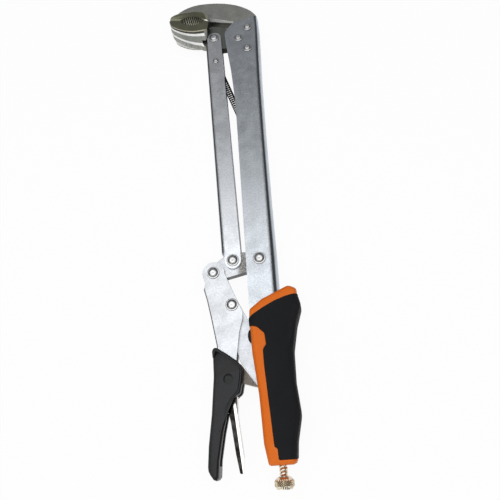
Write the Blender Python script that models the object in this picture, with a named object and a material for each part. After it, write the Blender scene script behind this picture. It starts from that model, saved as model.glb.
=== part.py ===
"""Long reach locking pliers: every piece a separate solid, in metres.

The tool lies flat: +X is to the right, +Y runs to the jaws and +Z is up. All
pieces are drawn from the rocker pivot, half way through the tool's thickness,
and the whole is then set down with its box's bottom centre at the origin.
"""

import math

import bmesh
import bpy
from mathutils import Vector

# Long lengths of the tool
HEAD_REACH = 0.1805
JAW_PIVOT_SET = 0.0032
JAW_REACH = 0.0532
JAW_RISE = 0.0415
CHANNEL_DEPTH = 0.0171
GRIP_DEPTH = 0.0308
GRIP_LENGTH = 0.1194
LEVER_DEPTH = 0.024
LEVER_LENGTH = 0.1194
RELEASE_REACH = 0.017
RELEASE_LENGTH = 0.0495

# Steps between the pins of the linkage
BAR_TOP_STEP_X = -0.019
BAR_TOP_STEP_Y = 0.0054
BAR_BOTTOM_X = -0.0171
BAR_BOTTOM_Y = 0.0011
LEVER_PIVOT_X = -0.0299
LEVER_PIVOT_Y = -0.0059
TOGGLE_STEP_X = 0.0108
TOGGLE_DROP_SHARE = 0.18258
STRUT_STEP_X = 0.0228
STRUT_DROP_SHARE = 0.38191
RELEASE_STEP_X = 0.0068
RELEASE_DROP_SHARE = 0.5536

# Steel thicknesses and half widths across the tool
SHEET = 0.0018
FOLD_RADIUS = 0.0026
CHANNEL_FOLD = 0.0042
FOLD_SPREAD_SHARE = 0.2
CHANNEL_HALF = 0.0065
BAR_HALF = 0.0046
PLATE_HALF = 0.0045
LINK_HALF = 0.0025
NOSE_HALF = 0.01
GRIP_HALF = 0.01
SLEEVE_HALF = 0.007
RELEASE_SHEET = 0.0009

# Clearances
PIN_CLEARANCE = 0.00015
OPEN_PIN_CLEARANCE = 0.0004
FACE_GAP = 0.0003
SWING_GAP = 0.0012
SEAT_GAP = 0.0002
OVERRUN = 0.004

# Push bar
BAR_FRONT = 0.0053
BAR_BACK = 0.007
BAR_LOBE = 0.0052
BAR_FOLD_TOP = 0.0075
BAR_FOLD_STEP = 0.0022
BAR_SPINE_TOP = 0.0124
BAR_SPINE_BOTTOM = 0.0062

# Rocker, toggle link and lever eyes
ROCKER_EYE = 0.005
ROCKER_SHOULDER = 0.0066
ROCKER_HUB = 0.0046
TOGGLE_EYE = 0.0041
TOGGLE_BELLY = 0.0058
TOGGLE_HEEL = 0.0047
TOGGLE_BELLY_SHARES = (0.357, 0.696)
TOGGLE_HEEL_SHARES = (0.734, 1.04)
STRUT_EYE = 0.0026
LEVER_EYE = 0.0071
LEVER_EYE_DEGREES = (-8, 196)
JAW_HUB = 0.0059
JAW_HUB_RELIEF_DEGREES = (-72, 84)
JAW_POCKET = 0.0093
JAW_WAIST_SHARE = 0.38
JAW_WAIST_RISE_SHARE = 0.5

# Rivets: shank, head and dome
RIVET_SHANK = 0.002
RIVET_HEAD = 0.0034
RIVET_RISE = 0.0015
LINK_RIVET_SHANK = 0.0025
LINK_RIVET_HEAD = 0.0039
SMALL_SHANK = 0.001
SMALL_HEAD = 0.0023
SMALL_RISE = 0.0011
DOME_SHARES = ((0.0, 1.0), (0.42, 0.9), (0.72, 0.66), (1.0, 0.3))
TANG_TOP_STEP_X = 0.0075
TANG_TOP_STEP_Y = 0.0095
TANG_LOW_STEP_X = 0.0062
TANG_LOW_STEP_Y = -0.0111

# Mouth between the jaws
MOUTH_LENGTH = 0.0202
MOUTH_HEIGHT = 0.0082
MOUTH_TOOTH = 0.0006
MOUTH_TEETH = 12
MOUTH_PLACE_SHARE = 0.575
MOUTH_FULLNESS = 2.2
TIP_SLIT_LENGTH = 0.0038
TIP_SLIT_HEIGHT = 0.0009
TIP_SLIT_PLACE_SHARE = 0.13

# Return spring and the pins that hold it
SPRING_WIRE = 0.0009
SPRING_DIAMETER = 0.005
SPRING_PITCH = 0.0019
SPRING_ANCHOR_DROP = 0.0226
SPRING_HOOK_X = 0.0011
SPRING_HOOK_RISE = 0.0876
HOOK_START_DEGREES = 60
HOOK_END_DEGREES = -90
HOOK_TURN_DEGREES = 210
HOOK_LEAD_SHARE = 0.7

# Handle grip
GRIP_ROUND = 0.0038
PAD_DEPTH = 0.0018
PAD_PROUD = 0.0004
SLOT_HALF = 0.0034
SLOT_DROP_SHARE = 0.708
END_WALL = 0.0022

# Adjusting screw, its nut and knob
SCREW_X = 0.0037
SCREW_DIAMETER = 0.0048
SCREW_PITCH = 0.0018
SCREW_THREAD = 0.0005
SCREW_TIP_STEP = 0.0078
SCREW_SHOW = 0.0054
SCREW_SPIGOT = 0.0044
SCREW_POINT_SHARE = 0.5
NUT_DEPTH = 0.0084
NUT_LENGTH = 0.0115
NUT_INNER_SHARE = 0.6
KNOB_DIAMETER = 0.0108
KNOB_LENGTH = 0.0063
KNOB_FLUTES = 22
KNOB_FLUTE_DEPTH = 0.0004

# Release lever and the leaf that springs it
RELEASE_SHANK = 0.0015
SLEEVE_ROUND = 0.002
LEAF_SHEET = 0.0006
LEAF_HALF = 0.0018
LEAF_START_SHARE = 0.65
LEAF_SEAT_SHARE = 0.5
LEAF_END_SHARE = 0.35

# Fineness of round shapes, and limits of corners
ARC_STEP_DEGREES = 18
EDGE_STEPS = 3
CORNER_STEPS = 2
DISC_SIDES = 24
PIN_SIDES = 16
CURL_POINTS = 8
HOOK_STEPS = 8
BAR_END_STEPS = 10
NEARLY_STRAIGHT_DEGREES = 178
CORNER_REACH_SHARE = 0.45
MITRE_SHARE = 0.5

# Outlines: across and along as shares of the named sizes, third value the rounding
UPPER_ARC_SHARES = (
    (-0.991, 0.600), (-0.977, 0.696), (-0.917, 0.822), (-0.859, 0.906), (-0.727, 0.990),
    (-0.553, 1.027), (-0.293, 0.993), (-0.083, 0.913), (0.073, 0.810), (0.203, 0.675),
    (0.271, 0.549),
)
UPPER_NOSE_SHARES = (
    (-0.989, 0.598), (-0.977, 0.677), (-0.925, 0.725), (-0.833, 0.754), (-0.630, 0.757),
    (-0.492, 0.706), (-0.442, 0.631), (-0.408, 0.451),
)
LOWER_FACE_SHARES = (
    (-0.989, 0.578), (-0.979, 0.494), (-0.919, 0.405), (-0.784, 0.301), (-0.639, 0.246),
    (-0.504, 0.243), (-0.459, 0.253), (-0.429, 0.267), (-0.408, 0.431),
)
LOWER_BODY_SHARES = (
    (-0.990, 0.578), (-0.998, 0.509), (-0.955, 0.374), (-0.823, 0.227), (-0.682, 0.118),
    (-0.560, 0.051), (-0.488, 0.012), (-0.443, 0.157), (-0.415, 0.434),
)
LOWER_LUG_SHARES = (
    (-0.504, 0.422, 0.0), (-0.402, 0.422, 0.0), (-0.389, 0.480, 0.024), (-0.173, 0.378, 0.048),
    (-0.026, 0.171, 0.072), (0.088, 0.024, 0.0), (0.000, -0.128, 0.0), (-0.203, -0.104, 0.036),
    (-0.353, -0.110, 0.072), (-0.437, -0.060, 0.048), (-0.494, 0.036, 0.0),
)
TANG_SHARES = (
    (0.286, 0.508, 0.0), (0.254, 0.504, 0.0), (0.254, 0.398, 0.0), (0.250, 0.108, 0.0),
    (0.235, -0.349, 0.048), (0.049, -0.378, 0.072), (0.030, -0.205, 0.024),
)
THROAT_SHARES = (
    (-0.008, 0.195, 0.024), (-0.058, 0.467, 0.036), (-0.410, 0.595, 0.036),
)
CHANNEL_HEAD_FRONT_SHARES = (
    (-0.177, -0.169, 0.0), (-0.195, 0.176, 0.145), (-0.083, 0.369, 0.096), (0.088, 0.431, 0.072),
    (0.278, 0.492, 0.024),
)
CHANNEL_HEAD_BACK_SHARES = (
    (0.300, 0.458, 0.0), (0.305, 0.229, 0.0), (0.297, -0.157, 0.0),
)
CHANNEL_BACK_SHARES = (
    (0.677, 0.781, 0.0), (0.636, 0.488, 0.0), (0.618, 0.222, 0.0), (0.621, 0.000, 0.0),
)
CHANNEL_FRONT_SHARES = (
    (-0.497, 0.000, 0.0), (-0.497, 0.526, 0.0), (-0.507, 0.676, 0.0), (-0.600, 0.831, 0.0),
)
CHANNEL_END_SHARES = (0.547, -0.129)
CHANNEL_TAIL_SHARES = (
    (-0.234, -0.704, 0.0), (-0.292, -0.335, 0.0), (-0.304, -0.308, 0.0), (-0.497, -0.298, 0.0),
)
LEVER_BACK_SHARES = (
    (-0.221, -0.055, 0.0), (-0.271, -0.089, 0.007), (-0.200, -0.144, 0.0), (-0.104, -0.246, 0.0),
    (0.012, -0.386, 0.050), (0.004, -0.537, 0.050), (-0.075, -0.711, 0.050),
    (-0.171, -0.847, 0.050), (-0.200, -0.935, 0.008),
)
LEVER_FRONT_SHARES = (
    (-0.099, -0.942, 0.008), (-0.057, -0.889, 0.0), (0.051, -0.763, 0.0), (0.151, -0.690, 0.034),
    (0.305, -0.637, 0.034), (0.487, -0.607, 0.017), (0.529, -0.508, 0.025), (0.487, -0.463, 0.0),
    (0.592, -0.327, 0.050), (0.696, -0.260, 0.034), (0.708, -0.224, 0.034),
)
SLEEVE_SHARES = (
    (-0.083, -0.377, 0.036), (-0.083, -0.536, 0.067),
    (-0.162, -0.711, 0.067), (-0.258, -0.849, 0.067), (-0.296, -0.955, 0.050),
    (-0.063, -1.021, 0.020), (-0.020, -0.914, 0.050),
    (0.089, -0.800, 0.084), (0.222, -0.692, 0.050), (0.364, -0.642, 0.025), (0.546, -0.624, 0.017),
    (0.596, -0.579, 0.025), (0.654, -0.503, 0.025), (0.504, -0.468, 0.025),
)
RELEASE_SHARES = (
    (0.418, 0.174, 0.016), (0.982, -0.115, 0.012), (0.400, -0.050, 0.030), (0.230, -0.172, 0.040),
    (0.218, -0.404, 0.162), (0.341, -0.838, 0.162), (0.306, -1.014, 0.016), (0.200, -1.014, 0.016),
    (0.094, -0.808, 0.162), (-0.023, -0.475, 0.162), (-0.194, -0.162, 0.101),
    (-0.218, 0.081, 0.051), (0.065, 0.141, 0.040),
)
GRIP_SHARES = (
    (-0.281, -0.271, 0.018), (-0.020, -0.222, 0.060), (0.519, -0.163, 0.030),
    (0.675, -0.183, 0.020), (0.681, -0.226, 0.025), (0.721, -0.272, 0.034), (0.604, -0.360, 0.075),
    (0.500, -0.486, 0.101), (0.481, -0.637, 0.134),
    (0.526, -0.787, 0.117), (0.416, -0.905, 0.084), (0.377, -0.998, 0.017), (-0.110, -0.998, 0.013),
    (-0.172, -0.905, 0.067), (-0.198, -0.687, 0.101), (-0.273, -0.486, 0.084),
    (-0.289, -0.323, 0.021),
)
PAD_SHARES = (
    (-0.422, -0.335, 0.0), (-0.261, -0.313, 0.012), (-0.005, -0.275, 0.040), (0.235, -0.245, 0.040),
    (0.471, -0.226, 0.040), (0.666, -0.217, 0.020), (0.974, -0.214, 0.0), (0.974, -0.975, 0.0),
    (0.081, -0.975, 0.007), (0.075, -0.928, 0.007),
    (0.023, -0.918, 0.007), (-0.019, -0.712, 0.0), (-0.052, -0.553, 0.034), (-0.052, -0.481, 0.017),
    (0.013, -0.457, 0.017), (-0.003, -0.402, 0.021), (-0.136, -0.368, 0.021), (-0.422, -0.345, 0.0),
)

# Pin places, worked out from the steps above
ROCKER_PIVOT = Vector((0.0, 0.0))
JAW_PIVOT = Vector((-JAW_PIVOT_SET, HEAD_REACH))
BAR_TOP = JAW_PIVOT + Vector((BAR_TOP_STEP_X, BAR_TOP_STEP_Y))
BAR_BOTTOM = Vector((BAR_BOTTOM_X, BAR_BOTTOM_Y))
LEVER_PIVOT = Vector((LEVER_PIVOT_X, LEVER_PIVOT_Y))
TOGGLE_PIVOT = LEVER_PIVOT + Vector((TOGGLE_STEP_X, -LEVER_LENGTH * TOGGLE_DROP_SHARE))
STRUT_STEP_Y = -LEVER_LENGTH * STRUT_DROP_SHARE
STRUT_END = TOGGLE_PIVOT + Vector((STRUT_STEP_X, STRUT_STEP_Y))
SCREW_TIP = STRUT_END.y - SCREW_TIP_STEP
RELEASE_PIVOT = LEVER_PIVOT + Vector((RELEASE_STEP_X, -LEVER_LENGTH * RELEASE_DROP_SHARE))
TANG_TOP = JAW_PIVOT + Vector((TANG_TOP_STEP_X, TANG_TOP_STEP_Y))
TANG_LOW = JAW_PIVOT + Vector((TANG_LOW_STEP_X, TANG_LOW_STEP_Y))
SPRING_HOOK = Vector((SPRING_HOOK_X, SPRING_HOOK_RISE))
BAR_AXIS = (BAR_BOTTOM - BAR_TOP).normalized()
BAR_SIDE = Vector((-BAR_AXIS.y, BAR_AXIS.x))
SPRING_ANCHOR = BAR_TOP + BAR_AXIS * SPRING_ANCHOR_DROP

# Colours, roughness and metallic value of each finish
PLATED = ((0.55, 0.57, 0.58), 0.38, 0.9)
PLATED_DULL = ((0.24, 0.25, 0.23), 0.42, 0.85)
BRIGHT = ((0.72, 0.72, 0.71), 0.15, 1.0)
SPRING_BLACK = ((0.015, 0.015, 0.014), 0.35, 0.6)
ORANGE = ((0.68, 0.16, 0.025), 0.5, 0.0)
BLACK_SOFT = ((0.018, 0.019, 0.021), 0.65, 0.0)
SLEEVE_BLACK = ((0.022, 0.023, 0.026), 0.4, 0.0)
BRASSY = ((0.45, 0.36, 0.24), 0.3, 1.0)


def clear_scene():
    """Remove whatever the scene holds."""
    for item in list(bpy.data.objects):
        bpy.data.objects.remove(item, do_unlink=True)


def from_shares(shares, origin, across, along):
    """Outline points, with their rounding, from shares of two sizes."""
    rows = []
    for row in shares:
        point = origin + Vector((row[0] * across, row[1] * along))
        radius = row[2] * along if len(row) > 2 else 0.0
        rows.append((point, radius))
    return rows


def plain(points):
    """Corner rows without rounding."""
    return [(point, 0.0) for point in points]


def corner_arc(before, corner, after, radius, steps=0):
    """The points that stand for one corner, an arc if it has a radius."""
    to_before = before - corner
    to_after = after - corner
    turn = to_before.angle(to_after)
    if radius <= 0.0 or (turn > math.radians(NEARLY_STRAIGHT_DEGREES) and not steps):
        return [corner.copy()]
    longest = min(to_before.length, to_after.length) * CORNER_REACH_SHARE
    reach = min(radius / math.tan(turn / 2), longest)
    middle = (to_before.normalized() + to_after.normalized()).normalized()
    centre = corner + middle * (reach / math.cos(turn / 2))
    start = corner + to_before.normalized() * reach - centre
    end = corner + to_after.normalized() * reach - centre
    sweep = start.angle_signed(end)
    steps = steps or max(1, math.ceil(abs(math.degrees(sweep)) / ARC_STEP_DEGREES))
    return [centre + turned(start, -sweep * step / steps) for step in range(steps + 1)]


def rounded_parts(*parts, steps=0):
    """Runs of corner rows that form one closed outline, rounded, still apart."""
    rows = [row for part in parts for row in part]
    runs = []
    index = 0
    for part in parts:
        run = []
        for corner, radius in part:
            run += corner_arc(rows[index - 1][0], corner, rows[(index + 1) % len(rows)][0], radius,
                              steps)
            index += 1
        runs.append(run)
    return runs


def rounded(rows, steps=0):
    """Points of an outline whose corners are replaced by arcs."""
    return rounded_parts(rows, steps=steps)[0]


def turned(vector, angle):
    """A flat vector turned by an angle, counter-clockwise."""
    cosine = math.cos(angle)
    sine = math.sin(angle)
    return Vector((cosine * vector.x - sine * vector.y, sine * vector.x + cosine * vector.y))


def smooth_run(points, steps=2):
    """A smooth curve through points, by Catmull and Rom's rule."""
    run = []
    last = len(points) - 1
    for index in range(last):
        first = points[max(index - 1, 0)]
        second = points[index]
        third = points[index + 1]
        fourth = points[min(index + 2, last)]
        for step in range(steps):
            t = step / steps
            run.append(
                0.5 * (2 * second + (third - first) * t
                       + (2 * first - 5 * second + 4 * third - fourth) * t * t
                       + (3 * second - first - 3 * third + fourth) * t * t * t)
            )
    run.append(points[last].copy())
    return run


def arc(centre, radius, start, end, steps):
    """Points on an arc, angles in degrees."""
    points = []
    for step in range(steps + 1):
        angle = math.radians(start + (end - start) * step / steps)
        points.append(centre + Vector((math.cos(angle), math.sin(angle))) * radius)
    return points


def hull(discs):
    """Outline of a plate that wraps discs, each a centre and a radius."""
    cloud = []
    for centre, radius in discs:
        cloud += arc(centre, radius, 0, 360 - 360 / DISC_SIDES, DISC_SIDES - 1)
    cloud.sort(key=lambda point: (point.x, point.y))

    def half(points):
        chain = []
        for point in points:
            while len(chain) > 1 and (chain[-1] - chain[-2]).cross(point - chain[-1]) <= 0:
                chain.pop()
            chain.append(point)
        return chain[:-1]

    return half(cloud) + half(reversed(cloud))


def offset(points, distance):
    """An outline moved outwards by a distance, inwards if it is negative."""
    area = sum(a.cross(b) for a, b in zip(points, points[1:] + points[:1]))
    side = 1 if area > 0 else -1
    moved = []
    for index, point in enumerate(points):
        into = (point - points[index - 1]).normalized()
        out = (points[(index + 1) % len(points)] - point).normalized()
        normal = (Vector((into.y, -into.x)) + Vector((out.y, -out.x))).normalized()
        stretch = 1 / max(MITRE_SHARE, normal.dot(Vector((out.y, -out.x))))
        moved.append(point + normal * (side * distance * stretch))
    return moved


def finish_mesh(bm, name):
    """A mesh from a bmesh, with its faces outwards."""
    bmesh.ops.recalc_face_normals(bm, faces=bm.faces)
    mesh = bpy.data.meshes.new(name)
    bm.to_mesh(mesh)
    bm.free()
    return mesh


def prism(points, low, high, fold=(), radius=0.0, segments=3):
    """An upright block over an outline; edges in fold are rounded on both faces."""
    bm = bmesh.new()
    base = [bm.verts.new((point.x, point.y, low)) for point in points]
    face = bm.faces.new(base)
    block = bmesh.ops.extrude_face_region(bm, geom=[face])
    top = [item for item in block["geom"] if isinstance(item, bmesh.types.BMVert)]
    bmesh.ops.translate(bm, verts=top, vec=(0, 0, high - low))
    if radius > 0.0:
        bmesh.ops.recalc_face_normals(bm, faces=bm.faces)
        chosen = [edge for edge in bm.edges if on_run(edge, points, fold)]
        bmesh.ops.bevel(bm, geom=chosen, offset=radius, offset_type="OFFSET", segments=segments,
                        profile=0.5, affect="EDGES", clamp_overlap=True, material=-1)
    return finish_mesh(bm, "prism")


def fold_block(back, out, half, radius):
    """A wide block whose back is a run of points, rounded along it on both faces."""
    first = (back[0] - back[1]).normalized() + out * FOLD_SPREAD_SHARE
    last = (back[-1] - back[-2]).normalized() + out * FOLD_SPREAD_SHARE
    run = [back[0] + first * JAW_REACH] + back + [back[-1] + last * JAW_REACH]
    outline = run + [run[-1] - out * JAW_REACH, run[0] - out * JAW_REACH]
    return prism(outline, -half, half, set(range(len(run))), radius)


def on_run(edge, points, fold):
    """Whether an edge is flat and both its ends are in the fold's run of points."""
    first, second = (vertex.co for vertex in edge.verts)
    if abs(first.z - second.z) > SEAT_GAP / 2:
        return False
    return all(nearest(vertex, points) in fold for vertex in (first, second))


def nearest(place, points):
    """Index of the outline point under a vertex."""
    flat = Vector((place.x, place.y))
    return min(range(len(points)), key=lambda index: (points[index] - flat).length_squared)


def loft(layers):
    """A closed block through outlines with one number of points, each at its height."""
    bm = bmesh.new()
    rings = [[bm.verts.new((point.x, point.y, height)) for point in points]
             for points, height in layers]
    count = len(rings[0])
    for lower, upper in zip(rings, rings[1:]):
        for index in range(count):
            after = (index + 1) % count
            bm.faces.new((lower[index], lower[after], upper[after], upper[index]))
    bm.faces.new(list(reversed(rings[0])))
    bm.faces.new(rings[-1])
    bmesh.ops.triangulate(bm, faces=bm.faces)
    return finish_mesh(bm, "loft")


def turned_solid(profile, centre, sides, axis="Z"):
    """A solid turned from radius and height rows, about Z or about Y."""
    bm = bmesh.new()
    rings = []
    for radius, height in profile:
        if radius <= 0.0:
            rings.append([bm.verts.new((0, 0, height))])
            continue
        ring = []
        for step in range(sides):
            angle = math.tau * step / sides
            ring.append(bm.verts.new((radius * math.cos(angle), radius * math.sin(angle), height)))
        rings.append(ring)
    for lower, upper in zip(rings, rings[1:]):
        for step in range(sides):
            after = (step + 1) % sides
            corners = [lower[step % len(lower)], lower[after % len(lower)],
                       upper[after % len(upper)], upper[step % len(upper)]]
            bm.faces.new(list(dict.fromkeys(corners)))
    for ring in (rings[0], rings[-1]):
        if len(ring) > 1:
            bm.faces.new(ring)
    for vertex in bm.verts:
        if axis == "Y":
            vertex.co = Vector((vertex.co.x, vertex.co.z, -vertex.co.y))
        vertex.co += Vector(centre)
    return finish_mesh(bm, "turned")


def drill(centre, radius, half):
    """A round cutter through the tool's thickness."""
    reach = half + OVERRUN
    return turned_solid([(radius, -reach), (radius, reach)], (centre.x, centre.y, 0), PIN_SIDES)


def combined(mesh, others, operation):
    """A mesh with others cut from it, joined to it or kept in common."""
    body = bpy.data.objects.new("body", mesh)
    bpy.context.collection.objects.link(body)
    tools = []
    for other in others:
        tool = bpy.data.objects.new("tool", other)
        bpy.context.collection.objects.link(tool)
        tools.append(tool)
        step = body.modifiers.new("step", "BOOLEAN")
        step.operation = operation
        step.solver = "EXACT"
        step.object = tool
    bpy.context.view_layer.update()
    depsgraph = bpy.context.evaluated_depsgraph_get()
    result = bpy.data.meshes.new_from_object(body.evaluated_get(depsgraph))
    for item in [body] + tools:
        bpy.data.objects.remove(item, do_unlink=True)
    return result


def cut(mesh, cutters):
    """A mesh with cutters taken out."""
    return combined(mesh, cutters, "DIFFERENCE")


def joined(mesh, others):
    """Several overlapping meshes as one body."""
    return combined(mesh, others, "UNION")


def common(mesh, others):
    """What a mesh has in common with others."""
    return combined(mesh, others, "INTERSECT")


def piece(name, mesh, finish, pivot=None):
    """A named object with its own finish, its origin on its pivot."""
    colour, roughness, metallic = finish
    material = bpy.data.materials.new(name)
    material.use_nodes = True
    shader = material.node_tree.nodes["Principled BSDF"]
    shader.inputs["Base Color"].default_value = (*colour, 1.0)
    shader.inputs["Roughness"].default_value = roughness
    shader.inputs["Metallic"].default_value = metallic
    mesh.materials.clear()
    mesh.materials.append(material)
    place = Vector((0, 0, 0)) if pivot is None else Vector((pivot.x, pivot.y, 0))
    for vertex in mesh.vertices:
        vertex.co -= place
    for polygon in mesh.polygons:
        polygon.use_smooth = True
    mesh.set_sharp_from_angle(angle=math.radians(30))
    item = bpy.data.objects.new(name, mesh)
    item.location = place
    bpy.context.collection.objects.link(item)
    return item


def head_outline(shares):
    """Rows of an outline that follows the jaws, from the jaw pivot."""
    return from_shares(shares, JAW_PIVOT, JAW_REACH, JAW_RISE)


def rivet(name, centre, grip_half, shank, head, rise, pivot=None):
    """A pin across the tool with a domed head on each face."""
    seat = grip_half + SEAT_GAP
    profile = [(head * across, -seat - rise * up) for across, up in DOME_SHARES]
    profile += [(head, -seat), (shank, -seat)]
    profile += [(radius, -height) for radius, height in reversed(profile)]
    mesh = turned_solid(profile, (centre.x, centre.y, 0), PIN_SIDES)
    return piece(name, mesh, BRIGHT, pivot)


def channel_outline():
    """Points of the fixed channel's back and of the rest of its side."""
    end = -GRIP_LENGTH + END_WALL + FACE_GAP
    tail = plain([Vector((share * CHANNEL_DEPTH, end)) for share in CHANNEL_END_SHARES])
    tail += from_shares(CHANNEL_TAIL_SHARES, ROCKER_PIVOT, CHANNEL_DEPTH, GRIP_LENGTH)
    back = head_outline(CHANNEL_HEAD_BACK_SHARES)
    back += from_shares(CHANNEL_BACK_SHARES, ROCKER_PIVOT, CHANNEL_DEPTH, HEAD_REACH)
    back.append(tail[0])
    front = tail[1:]
    front += from_shares(CHANNEL_FRONT_SHARES, ROCKER_PIVOT, CHANNEL_DEPTH, HEAD_REACH)
    front += head_outline(CHANNEL_HEAD_FRONT_SHARES)
    return rounded_parts(back, front)


def fixed_channel():
    """The long folded channel, closed at its back and open towards the push bar."""
    back, front = channel_outline()
    outline = back + front
    fold = fold_block(back, Vector((1, 0)), CHANNEL_HALF, CHANNEL_FOLD)
    mesh = common(prism(outline, -CHANNEL_HALF - OVERRUN, CHANNEL_HALF + OVERRUN), [fold])
    inner = [point + Vector((-SHEET, 0)) for point in back]
    inner[0] += Vector((0, OVERRUN * 2))
    inner[-1] += Vector((0, -OVERRUN))
    far = JAW_REACH
    inner += [Vector((-far, inner[-1].y)), Vector((-far, inner[0].y))]
    half = CHANNEL_HALF - SHEET
    hollow = prism(inner, -half, half, set(range(len(back))), FOLD_RADIUS - SHEET)
    cutters = [hollow]
    for centre in (JAW_PIVOT, TANG_TOP, TANG_LOW):
        cutters.append(drill(centre, RIVET_SHANK + PIN_CLEARANCE, CHANNEL_HALF))
    cutters.append(drill(ROCKER_PIVOT, LINK_RIVET_SHANK + PIN_CLEARANCE, CHANNEL_HALF))
    piece("fixed_channel", cut(mesh, cutters), PLATED)


def mouth_cutter():
    """The toothed lens between the jaws and the slit at their tip."""
    mating = mating_line()
    along = (mating[1] - mating[0]).normalized()
    side = Vector((-along.y, along.x))
    middle = mating[0] + (mating[1] - mating[0]) * MOUTH_PLACE_SHARE
    outline = []
    for sign in (1, -1):
        for step in range(2 * MOUTH_TEETH + 1):
            share = step / (2 * MOUTH_TEETH) * 2 - 1
            rise = MOUTH_HEIGHT / 2 * (1 - abs(share) ** MOUTH_FULLNESS)
            tooth = MOUTH_TOOTH * (step % 2)
            run = along * (share * sign * MOUTH_LENGTH / 2)
            outline.append(middle + run + side * (sign * (rise + tooth)))
    clean = []
    for point in outline:
        if not clean or (point - clean[-1]).length > SEAT_GAP / 2:
            clean.append(point)
    if (clean[0] - clean[-1]).length < SEAT_GAP / 2:
        clean.pop()
    reach = NOSE_HALF + OVERRUN
    tip = mating[0] + (mating[1] - mating[0]) * TIP_SLIT_PLACE_SHARE
    slit = [tip - along * TIP_SLIT_LENGTH / 2, tip - side * TIP_SLIT_HEIGHT / 2,
            tip + along * TIP_SLIT_LENGTH / 2, tip + side * TIP_SLIT_HEIGHT / 2]
    return [prism(clean, -reach, reach), prism(slit, -reach, reach)]


def mating_line():
    """The line on which the jaws meet, from the tip to the throat."""
    lower = [row[0] for row in head_outline(LOWER_FACE_SHARES)]
    upper = [row[0] for row in head_outline(UPPER_NOSE_SHARES)]
    return (lower[0] + upper[0]) / 2, (lower[-1] + upper[-1]) / 2


def upper_jaw():
    """The curved jaw plate with its wide nose and the tang held in the channel."""
    arc_points = smooth_run([row[0] for row in head_outline(UPPER_ARC_SHARES)])
    around = arc(JAW_PIVOT, JAW_HUB + SWING_GAP, *JAW_HUB_RELIEF_DEGREES, DISC_SIDES // 2)
    nose = [row[0] for row in head_outline(UPPER_NOSE_SHARES)]
    outline = rounded(plain(arc_points) + head_outline(TANG_SHARES) + plain(around)
                      + head_outline(THROAT_SHARES) + plain([nose[-1]]))
    plate = prism(outline, -PLATE_HALF, PLATE_HALF)
    face = smooth_run(nose[:-1]) + [nose[-1]]
    count = len(face)
    block = prism(face, -NOSE_HALF, NOSE_HALF, set(range(count)), SHEET, 2)
    mesh = joined(plate, [block])
    cutters = mouth_cutter()
    for centre in (TANG_TOP, TANG_LOW):
        cutters.append(drill(centre, RIVET_SHANK + PIN_CLEARANCE, PLATE_HALF))
    piece("upper_jaw", cut(mesh, cutters), PLATED_DULL)


def lower_jaw():
    """The hooked jaw: wide at the mouth, narrower below, with a thin lug to its pivot."""
    face = smooth_run([row[0] for row in head_outline(LOWER_FACE_SHARES)])
    body = smooth_run([row[0] for row in head_outline(LOWER_BODY_SHARES)])
    waist = [rim.lerp(low, JAW_WAIST_SHARE) for rim, low in zip(face, body)]
    rise = LINK_HALF + (NOSE_HALF - LINK_HALF) * JAW_WAIST_RISE_SHARE
    beak = loft([(face, -NOSE_HALF), (waist, -rise), (body, -LINK_HALF),
                 (body, LINK_HALF), (waist, rise), (face, NOSE_HALF)])
    lug = prism(rounded(head_outline(LOWER_LUG_SHARES)), -LINK_HALF, LINK_HALF)
    hub_profile = [(JAW_HUB, -PLATE_HALF), (JAW_HUB, PLATE_HALF)]
    hub = turned_solid(hub_profile, (JAW_PIVOT.x, JAW_PIVOT.y, 0), DISC_SIDES)
    mesh = joined(beak, [lug, hub])
    swing = turned_solid([(JAW_POCKET, -PLATE_HALF - FACE_GAP),
                          (JAW_POCKET, -LINK_HALF)], (BAR_TOP.x, BAR_TOP.y, 0), DISC_SIDES)
    far_swing = turned_solid([(JAW_POCKET, LINK_HALF),
                              (JAW_POCKET, PLATE_HALF + FACE_GAP)],
                             (BAR_TOP.x, BAR_TOP.y, 0), DISC_SIDES)
    cutters = mouth_cutter() + [swing, far_swing]
    room = LINK_RIVET_HEAD + FACE_GAP
    far = NOSE_HALF + OVERRUN
    for low, high in ((-far, -PLATE_HALF), (PLATE_HALF, far)):
        cutters.append(turned_solid([(room, low), (room, high)], (BAR_TOP.x, BAR_TOP.y, 0), DISC_SIDES))
    cutters.append(drill(JAW_PIVOT, RIVET_SHANK + PIN_CLEARANCE, PLATE_HALF))
    cutters.append(drill(BAR_TOP, LINK_RIVET_SHANK + OPEN_PIN_CLEARANCE, PLATE_HALF))
    piece("lower_jaw", cut(mesh, cutters), PLATED_DULL, JAW_PIVOT)


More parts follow.
